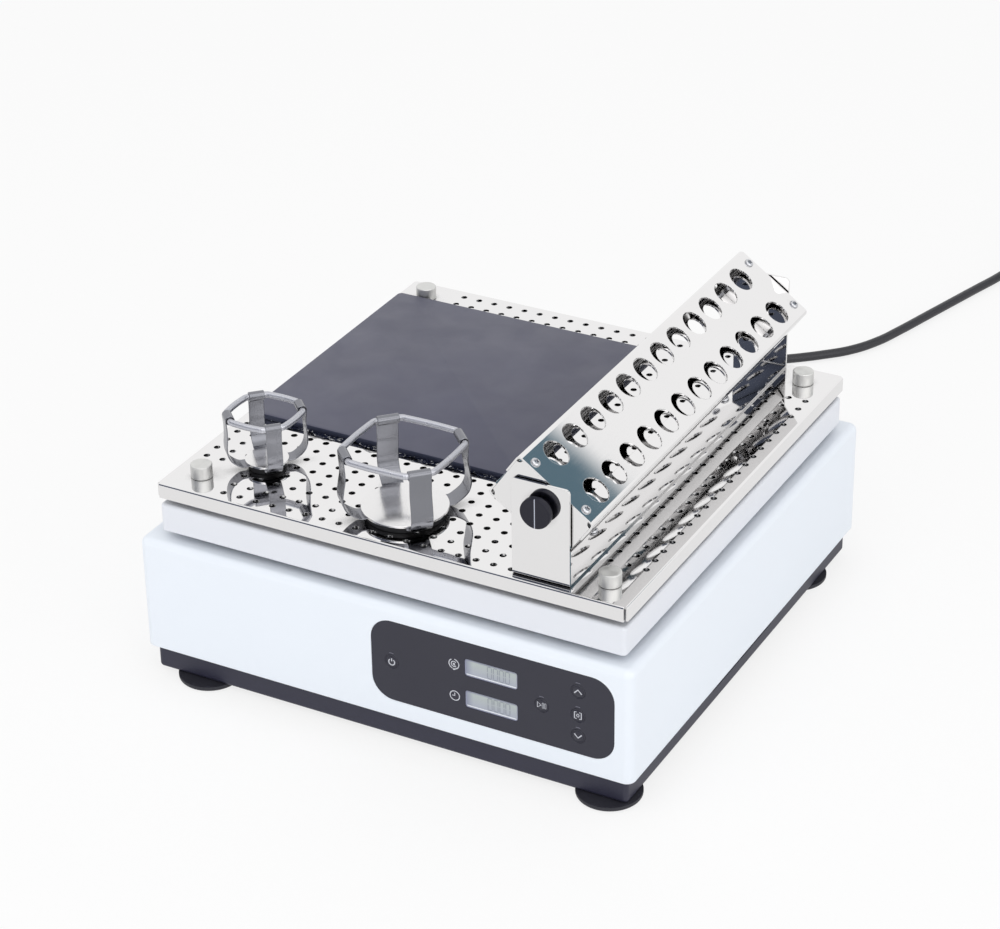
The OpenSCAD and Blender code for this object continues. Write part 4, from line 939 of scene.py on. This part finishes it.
class SHAKER_OT_panel(bpy.types.Operator):
    """Adds the printed control panel with its two displays and five keys"""
    bl_idname = "shaker.panel"
    bl_label = "Control panel"
    bl_options = {"REGISTER", "UNDO"}

    def execute(self, context):
        sizes, colours = settings(context)
        film = panel_film("matt polyester film", colours.panel)
        ink = ink_and_painted_light("screen-printed ink", colours.ink)
        faint = ink_and_painted_light("faded ink", linear("#6A6A78"))
        line = sizes.icon_line * 1000
        x, z, w, h, r = PANEL
        bm = bmesh.new()
        windows = [round_rect(cx, cz, 36.2, 12.2, 2, 6) for cx, cz in LCD_AT]
        key_cuts = [arc(cx, cz, 4.85, 0, 352.5, 47) for cx, cz in KEYS.values()]
        plate(bm, round_rect(x, z, w, h, r, 14), FRONT_Y, FRONT_Y + 0.8, 0.18, [*windows, *key_cuts])
        face = FRONT_Y - 0.04
        self.sign(bm, "speed", 54.5, 73.9, face, line)
        self.sign(bm, "time", 54.6, 50.9, face, line)
        for cx, cz in KEYS.values():
            # short guide mark over each key
            ribbon(bm, arc(cx, cz, 6.3, 104, 76, 6), 0.5, face, 2)
        piece("panel_film_printed", bm, [film, ink, faint], "control_panel")
        for name, (cx, cz) in KEYS.items():
            bm = bmesh.new()
            turned(bm, [(0, 0.05), (3.5, 0.05), (3.62, 0.12), (3.72, 0.3), (3.98, 0.3), (4.08, 0.12),
                        (4.2, 0.05), (4.6, 0.05), (4.75, 0.2), (4.75, 0.9), (6, 0.9), (6, 1.9), (2, 1.9),
                        (2, 7.0), (0, 7.0)], Vector((cx, FRONT_Y, cz)), BACK)
            self.sign(bm, name, cx, cz, FRONT_Y + 0.02, line)
            piece(f"key_{name}_cap", bm, [film, ink], f"key_{name}")
        self.displays(colours)
        return {"FINISHED"}

    def sign(self, bm, name, x, z, y, line):
        """One printed sign, drawn around the point x, z."""
        for points, width, closed in SIGNS[name]:
            ribbon(bm, [(x + px, z + pz) for px, pz in points], line * width, y, 1, closed=closed)

    def displays(self, colours):
        """Two display windows: clear cover, sunk glass with faint unlit segments, painted shade on the
        window's bevel, wall and upper edge, and a painted highlight on the pale lower lip.
        """
        glass = display_glass("display glass", colours.glass)
        painted_shade_rim = ink_and_painted_light("painted shade border", linear("#8D90A6"))
        lip = ink_and_painted_light("painted highlight edge", linear("#E2E6EC"))
        segment = ink_and_painted_light("unlit segment", linear("#8A909A"))
        case = moulded("display case", linear("#2B2B30"), 0.6, 0.5)
        bm = bmesh.new()
        run = bm.loops.layers.uv.new("run")
        for cx, cz in LCD_AT:
            edge, inner = round_rect(cx, cz, 36, 12, 1.9, 6), round_rect(cx, cz, 34.9, 11.1, 1.5, 6)
            # the window's bevel and wall take the painted shade colour
            skin(bm, [upright(edge, FRONT_Y + 0.3), upright(inner, FRONT_Y + 0.62)], 1, flip=True)
            skin(bm, [upright(edge, FRONT_Y + 0.3), upright(edge, FRONT_Y + 3)], 1)
            face = bm.faces.new([bm.verts.new(p) for p in upright(inner, FRONT_Y + 0.62)][::-1])
            for loop in face.loops:
                loop[run].uv = ((loop.vert.co.x - cx + 17.5) / 35, (loop.vert.co.z - cz + 5.6) / 11.2)
            # painted highlight: a pale line along the lower edge of the window
            ribbon(bm, [(cx - 17.2, cz - 5.0), (cx + 17.2, cz - 5.0)], 0.9, FRONT_Y + 0.58, 2)
            # painted shade: a blue-grey line along the upper edge of the window
            ribbon(bm, [(cx - 16.8, cz + 5.15), (cx + 16.8, cz + 5.15)], 0.5, FRONT_Y + 0.58, 1)
            for k in range(4):
                self.digit(bm, cx - 1.2 + 4.1 * k, cz + 0.2)
            skin(bm, [upright(oblong(cx, cz, 22, 9), y) for y in (FRONT_Y + 3, FRONT_Y + 11.6)], 4,
                 ends=(True, True))
        piece("display_windows", bm, [glass, painted_shade_rim, lip, segment, case], "lcd_modules")

    def digit(self, bm, x, z):
        """Unlit seven-segment nought, 2.8 mm wide and 8.2 mm high."""
        a, b = 1.4, 4.1
        corners = [Vector(p) for p in ((-a, b), (a, b), (a, 0), (a, -b), (-a, -b), (-a, 0))]
        for p, q in zip(corners, corners[1:] + corners[:1]):
            middle = (p + q) / 2
            # each segment stops a little short of its corners
            ends = [Vector((x, z)) + middle + (end - middle) * 0.84 for end in (p, q)]
            ribbon(bm, ends, 0.55, FRONT_Y + 0.57, 3)


class SHAKER_OT_tray(bpy.types.Operator):
    """Finishes the perforated tray and adds its four thumb screws"""
    bl_idname = "shaker.tray"
    bl_label = "Tray and thumb screws"
    bl_options = {"REGISTER", "UNDO"}

    def execute(self, context):
        sizes, colours = settings(context)
        dress(polished_sheet("bright-annealed tray sheet", colours.stainless, sizes.edge), "tray")
        steel = turned_metal("satin turned aluminium", linear("#DCDCDA"), 0.48, 0.5)
        for i, (sx, sy) in enumerate(((1, 1), (-1, 1), (-1, -1), (1, -1)), 1):
            cap = [(0, -24.5), (3, -24.5), (3, 0), (6.6, 0), (7, 0.4), (7, 8.2)]
            cap += [(6.2 + 0.8 * math.cos(a), 8.2 + 0.8 * math.sin(a)) for a in (0.3, 0.65, 1.0, 1.3, 1.57)]
            cap += [(5.4, 9.0), (0, 8.98)]
            at = on_tray(sx * THUMB_SCREWS, sy * THUMB_SCREWS)
            turned_piece(f"thumb_screw_{i}_cap", cap, at, UP, steel, f"thumb_screw_{i}",
                         40, sizes.turns)
        return {"FINISHED"}


class SHAKER_OT_mat(bpy.types.Operator):
    """Adds the grip mat with its eased edges and the liner that shows in front of it"""
    bl_idname = "shaker.mat"
    bl_label = "Grip mat"
    bl_options = {"REGISTER", "UNDO"}

    def execute(self, context):
        sizes, colours = settings(context)
        rubber = silicone_mat("silicone rubber", colours.mat)
        # painted shade: the mat's side and underside are a darker copy of the mat's own colour
        side = moulded("silicone side in painted shade", linear("#33374A"), 0.8, 0.5, 0.00003, 1.41)
        low, high = (corner * 1000 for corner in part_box("mat"))
        ease, thick = sizes.mat_edge * 1000, high.z - low.z
        cx, cy, w, h = (low.x + high.x) / 2, (low.y + high.y) / 2, high.x - low.x, high.y - low.y

        def outline(inset, z):
            """The mat's outline drawn in by inset, z above the tray."""
            line = round_rect(cx, cy, w - 2 * inset, h - 2 * inset, max(0.6, 3.5 - inset), 6)
            return [Vector((x, y, TRAY_Z + z)) for x, y in line]

        rows = [outline(0.3, 0), outline(0, 0.3), outline(0, thick - ease)]
        rows += [outline(ease * (1 - math.cos(t)), thick - ease * (1 - math.sin(t)))
                 for t in (0.5, 1.0, 1.4)]
        bm = bmesh.new()
        skin(bm, rows[:4], 1)
        skin(bm, rows[3:])
        bm.faces.new([bm.verts.new(p) for p in rows[-1]])
        under = bm.faces.new([bm.verts.new(p) for p in rows[0]][::-1])
        under.material_index = 1
        bmesh.ops.remove_doubles(bm, verts=bm.verts, dist=0.01)
        piece("grip_mat", bm, [rubber, side], "mat", 50)
        self.liner(sizes.film_width * 1000, low, high)
        return {"FINISHED"}

    def liner(self, width, low, high):
        """Thin clear film left under the mat: it comes out along the front edge, creased and curling."""
        rng = random.Random(7)
        waves = [(rng.uniform(0.05, 0.5), rng.uniform(0, TAU), rng.uniform(0.15, 0.5)) for _ in range(9)]
        long, wide = 180, 6         # steps along the mat's edge and across the film
        rows = []
        for k in range(long + 1):
            x = low.x + 24 + (high.x - low.x - 30) * k / long
            reach = width * (0.62 + 0.22 * sum(a * math.sin(f * x + p) for f, p, a in waves))
            row = []
            for t in (j / wide for j in range(wide + 1)):
                curl = abs(math.sin(0.21 * x + 2.2 * t) * math.sin(0.083 * x + 1.1))
                row.append(Vector((x + 0.7 * math.sin(0.9 * x + 3 * t), low.y + 1.5 - (reach + 1.5) * t,
                                   TRAY_Z + 0.12 + 1.3 * t * curl * (0.4 + t))))
            rows.append(row)
        bm = bmesh.new()
        skin(bm, rows, ring=False)
        piece("mat_liner", bm, [clear_liner("clear PVC liner")], "mat", 180, replaces=False)


class SHAKER_OT_clamps(bpy.types.Operator):
    """Adds both flask clamps: base, disc, four bent straps, ring spring and screws"""
    bl_idname = "shaker.clamps"
    bl_label = "Flask clamps"
    bl_options = {"REGISTER", "UNDO"}

    def execute(self, context):
        sizes, colours = settings(context)
        strap = brushed_strip("brushed spring steel", colours.strap, 0.2)
        disc = satin_steel("brushed stainless disc", linear("#EAE9E9"), 0.17, 0.25)
        spring = wound_spring("close-wound spring wire", colours.spring, sizes.ring_wire)
        rubber = moulded("black neoprene", linear("#131317"), 0.5, 0.55, 0.00002)
        screw = satin_steel("zinc-plated screw", linear("#C4C5C9"), 0.25, 0.3)
        large = [(28, 4.1), (30.5, 4.6), (36.3, 8.5), (39.5, 12.5), (40.8, 18.5), (39.9, 26), (38.8, 34),
                 (39.55, 46.5)]
        small = [(14.5, 4.1), (18, 4.7), (23, 8.5), (25.4, 13), (26, 18.5), (25.6, 24), (25.4, 31),
                 (25.95, 38.5)]
        for size_name, d, w, line, ring in (("large", 55, 14, large, (36.8, 46.5)),
                                            ("small", 28, 10, small, (23.2, 38.5))):
            foot = on_tray(*CLAMPS[size_name])
            for part, node, r, low, high, ease, mat, slot, steps in (
                    ("foot", "base", d / 2 - 2, 0, 3.7, 0.5, rubber, "black_plastic", 64),
                    ("plate", "disc", d / 2, 4.5, 6, 0.3, disc, "brushed_steel", 96)):
                profile = round_over([(0, low), (r, low), (r, high), (0, high)], ease)
                turned_piece(f"clamp_{size_name}_{part}", profile, foot, UP, mat,
                             f"clamp_{size_name}_{node}", steps=steps)
            self.legs(size_name, foot, line, w, ring, strap)
            self.ring(size_name, foot, w, ring, spring)
        self.screws(screw)
        return {"FINISHED"}

    def legs(self, size_name, foot, line, w, ring, strap):
        """Four straps from the middle, bent up and rolled over the ring."""
        bm = bmesh.new()
        walk = [Vector((4, 4.1)), Vector((line[0][0] * 0.6, 4.1))] + smooth([Vector(p) for p in line], 6)
        walk += [Vector(p) for p in arc(*ring, line[-1][0] - ring[0], 12, 318, 26)]
        for a in (45, 135, 225, 315):
            out = Vector((math.cos(math.radians(a)), math.sin(math.radians(a)), 0))
            path = [foot + out * p.x + Vector((0, 0, p.y)) for p in walk]
            normals = []
            for i in range(len(walk)):
                h = (walk[min(i + 1, len(walk) - 1)] - walk[max(i - 1, 0)]).normalized()
                normals.append(out * -h.y + Vector((0, 0, h.x)))
            swept(bm, path, normals, flat_section(w, 0.75, 0.22))
        piece(f"clamp_{size_name}_straps", bm, [strap], f"clamp_{size_name}_legs", 40)

    def ring(self, size_name, foot, w, ring, spring):
        """Ring spring: short straights in the loops, slightly bowed sides between them."""
        bend, bow, s = 5, 0.6, math.sqrt(0.5)       # radius of the bends, outward bow, sine of 45 degrees
        k = bend * math.tan(math.radians(22.5))     # what each bend takes from the sides that it joins
        half = w / 2 + k
        y, h = ring[0] * s + half * s, ring[0] * s - half * s - k
        side = arc(h, y - bend, bend, 45, 90, 8)
        side += [(h * t, y + bow * (1 - t * t)) for t in (0.6, 0.3, 0, -0.3, -0.6)]
        side += arc(-h, y - bend, bend, 90, 135, 8)
        path = []
        for quarter in range(4):
            turn = Matrix.Rotation(quarter * TAU / 4, 2)
            path += [turn @ Vector(p) for p in side]
        bm = bmesh.new()
        swept(bm, level(path, foot, ring[1]), [UP] * len(path), circle(2.1, 20), closed=True)
        piece(f"clamp_{size_name}_spring", bm, [spring], f"clamp_{size_name}_ring", 80)

    def screws(self, screw):
        """Pan-head screws: up into the clamps from under the tray, and down through the rack frame."""
        head = cross_head(7, 2.4, 0.7)
        bm = bmesh.new()
        for i, (x, y) in enumerate([(x + s * 6, y - s * 6) for x, y in CLAMPS.values() for s in (-1, 1)]):
            at = on_tray(x, y, -1.5)
            merge(bm, head, along(at, -UP, 0.7 * i))
            turned(bm, [(0, -0.3), (2, -0.3), (2, 6.4), (1.7, 6.8), (0, 6.8)], at, UP, steps=24)
        seat = 1.5
        for i, y in enumerate((-96, 96)):
            at = on_tray(108, y)
            merge(bm, head, along(at + UP * seat, UP, 0.7 * i))
            turned(bm, [(0, -6.2), (1.7, -6.2), (2, -5.8), (2, seat), (0, seat)], at, UP, steps=24)
            skin(bm, [level(circle(4, 6), at, z) for z in (-4.7, -1.5)], ends=(True, True))
        piece("clamp_and_frame_screws", bm, [screw], "accessory_screws")
        head.free()


class SHAKER_OT_rack(bpy.types.Operator):
    """Finishes the tilting tube rack and adds its screws and two clamping knobs"""
    bl_idname = "shaker.rack"
    bl_label = "Tube rack"
    bl_options = {"REGISTER", "UNDO"}

    def execute(self, context):
        sizes, colours = settings(context)
        # painted shade: the upper sheet faces the lower one across the whole depth of the rack, so its
        # colour is painted darkest
        for name, reach, painted_shade_level, nodes in (("rack", 0.034, 0.1, ["rack_bottom"]),
                                         ("frame", 0.02, 0.35, ["rack_frame", "rack_ends"]),
                                         ("upper", 0.055, 0.04, ["rack_top"])):
            dress(polished_sheet(f"roll-polished {name} sheet", colours.stainless, sizes.edge, 1, 0.000006,
                                 reach, painted_shade_level), *nodes)
        screw = satin_steel("bright zinc screw", linear("#C9CACE"), 0.22, 0.3)
        head = cross_head(6, 1.8, 0.5)
        tilt = Matrix.Translation(RACK_PIVOT) @ Matrix.Rotation(math.radians(35), 4, "Y")
        bm = bmesh.new()
        seats = [(Vector((x, y, z)), Vector((0, 0, out))) for x in (-20.2, 20.2) for y in (-152, 152)
                 for z, out in ((16.5, 1), (-20.0, -1))]
        for i, (at, axis) in enumerate(seats):
            merge(bm, head, tilt @ along(at, axis, 0.5 + 0.8 * i))
            shank = bmesh.new()
            turned(shank, [(0, -4.8), (1.3, -4.8), (1.5, -4.5), (1.5, 0.1), (0, 0.1)], at, axis, steps=20)
            merge(bm, shank, tilt)
            shank.free()
        head.free()
        piece("rack_cross_screws", bm, [screw], "rack_screws")
        self.knobs(sizes, colours)
        return {"FINISHED"}

    def knobs(self, sizes, colours):
        """Moulded disc knobs on a short hub, each with a painted highlight across its face: a thin pale
        line where the turned face catches the light.
        """
        resin = turned_metal("black phenolic", colours.knob, 0.5, 0.3, metallic=0.0)
        shader = shader_of(resin)
        shader.inputs["IOR"].default_value = 1.6
        shader.inputs["Specular IOR Level"].default_value = 0.3
        x, y, _ = add(resin, "SeparateXYZ", {0: here(resin)}).outputs
        # painted highlight: a pale line within 0.3 mm of the knob's middle, on the outer faces only
        on_line = maths(resin, "COMPARE", x, RACK_PIVOT.x * 0.001, 0.0003)
        out = maths(resin, "ABSOLUTE", maths(resin, "ADD", y, -0.001 * RACK_PIVOT.y))
        drawn = maths(resin, "MULTIPLY", on_line, maths(resin, "GREATER_THAN", out, 0.1671))
        body = shader.inputs["Base Color"].links[0].from_socket
        # the painted highlight line goes over the body colour
        join(resin, "Base Color", blend(resin, drawn, body, solid("#B6BAC8")))
        for name, s in (("front", -1), ("rear", 1)):
            rim = [(5.9, 0.1), (6, 2.9), (9.0, 3.0)]
            rim += [(9.2 + 0.8 * math.sin(a), 3.8 - 0.8 * math.cos(a)) for a in (0.4, 0.8, 1.2, 1.57)]
            rim += [(9.2 + 0.8 * math.cos(a), 6.7 + 0.8 * math.sin(a)) for a in (0, 0.4, 0.8, 1.2, 1.57)]
            rim += [(8.4, 7.44), (0, 7.4)]
            turned_piece(f"rack_knob_{name}_disc", [(4.05, 5.8), (4.05, 0.1), *rim],
                         RACK_PIVOT + s * KNOBS * BACK, Vector((0, s, 0)), resin, f"rack_knob_{name}",
                         40, sizes.turns)


class SHAKER_OT_switch(bpy.types.Operator):
    """Adds the mains switch on the rear wall"""
    bl_idname = "shaker.switch"
    bl_label = "Mains switch"
    bl_options = {"REGISTER", "UNDO"}

    def execute(self, context):
        body = moulded("polyamide switch body", linear("#1C1C20"), 0.4, 0.42)
        key = moulded("gloss switch rocker", linear("#202024"), 0.5, 0.22, 0.000006, 1.52)
        mark = ink_and_painted_light("white switch mark", linear("#E8E8E8"))
        x, y, z = SWITCH_AT
        bm = bmesh.new()
        cut, eased = oblong(x, z, 7.8, 4.8), oblong(x, z, 8.05, 5.05)
        rim, outer = round_rect(x, z, 22.2, 15.4, 1.2, 5), round_rect(x, z, 23, 16.2, 1.5, 5)
        skin(bm, [upright(cut, y - 6), upright(cut, y + 1.2), upright(eased, y + 1.55)], ends=(True, False))
        cover_flat(bm, [rim, eased], y + 1.55)
        skin(bm, [upright(rim, y + 1.55), upright(outer, y + 1.1), upright(outer, y)])
        box = oblong(x, z, 9.9, 6.5)
        skin(bm, [upright(box, y), upright(box, y - 14.5)], ends=(False, True))
        piece("switch_frame", bm, [body], "switch_bezel")
        bm = bmesh.new()
        # rocker profile through its depth and height, dished on each side of the middle
        line = [(-3.4, -2), (-1, -4), (3.1, -4.3), (3.4, -4.0), (2.75, -2.1), (2.2, 0),
                (2.75, 2.1), (3.4, 4.0), (3.1, 4.3), (-1, 4), (-3.4, 2)]
        tip = Matrix.Rotation(math.radians(8), 3, "X")
        pivot = Vector((x, y - 1, z))
        rows = [[pivot + tip @ Vector((px, a * k, b * k)) for a, b in line]
                for px, k in ((-7.5, 0.94), (-7.2, 1), (7.2, 1), (7.5, 0.94))]
        skin(bm, rows, ends=(True, True))
        for axis in (Vector((-1, 0, 0)), Vector((1, 0, 0))):
            turned(bm, [(0, 0), (1.2, 0), (1.2, 1.4), (0, 1.4)], pivot + axis * 7.4, axis, steps=20)
        signs = bmesh.new()
        ribbon(signs, [(0, 1.5), (0, 3.3)], 0.5, 0, 1)
        ribbon(signs, arc(0, -2.4, 0.85, 0, 337.5, 15), 0.45, 0, 1, closed=True)
        for vert in signs.verts:
            # the marks follow the dished face, a hair above it
            off = abs(vert.co.z)
            depth = 2.75 + 0.35 * (off - 2.1) if off > 2.1 else 2.2 + 0.262 * off
            vert.co = pivot + tip @ Vector((vert.co.x, depth + 0.03, vert.co.z))
        merge(bm, signs, mat=1)
        signs.free()
        piece("switch_rocker", bm, [key, mark], "mains_switch", 25)
        return {"FINISHED"}


class SHAKER_PT_pieces(bpy.types.Panel):
    """Buttons for each piece and the sizes and colours behind them"""
    bl_idname = "SHAKER_PT_pieces"
    bl_label = "Orbital shaker"
    bl_space_type = "VIEW_3D"
    bl_region_type = "UI"
    bl_category = "Shaker"

    def draw(self, context):
        column = self.layout.column(align=True)
        for operator in PIECES:
            column.operator(operator.bl_idname)
        for group in settings(context):
            box = self.layout.box()
            for key in group.bl_rna.properties.keys():
                if key not in ("rna_type", "name"):
                    box.prop(group, key)


PIECES = (SHAKER_OT_stage, SHAKER_OT_cord, SHAKER_OT_housing, SHAKER_OT_panel, SHAKER_OT_tray,
          SHAKER_OT_mat, SHAKER_OT_clamps, SHAKER_OT_rack, SHAKER_OT_switch)
CLASSES = (ShakerSizes, ShakerColours, *PIECES, SHAKER_PT_pieces)


def register():
    for cls in CLASSES:
        bpy.utils.register_class(cls)
    bpy.types.Scene.shaker_sizes = bpy.props.PointerProperty(type=ShakerSizes)
    bpy.types.Scene.shaker_colours = bpy.props.PointerProperty(type=ShakerColours)


def unregister():
    del bpy.types.Scene.shaker_sizes
    del bpy.types.Scene.shaker_colours
    for cls in reversed(CLASSES):
        bpy.utils.unregister_class(cls)


def main():
    register()
    for operator in PIECES:
        group, name = operator.bl_idname.split(".")
        getattr(getattr(bpy.ops, group), name)()


if __name__ == "__main__":
    main()
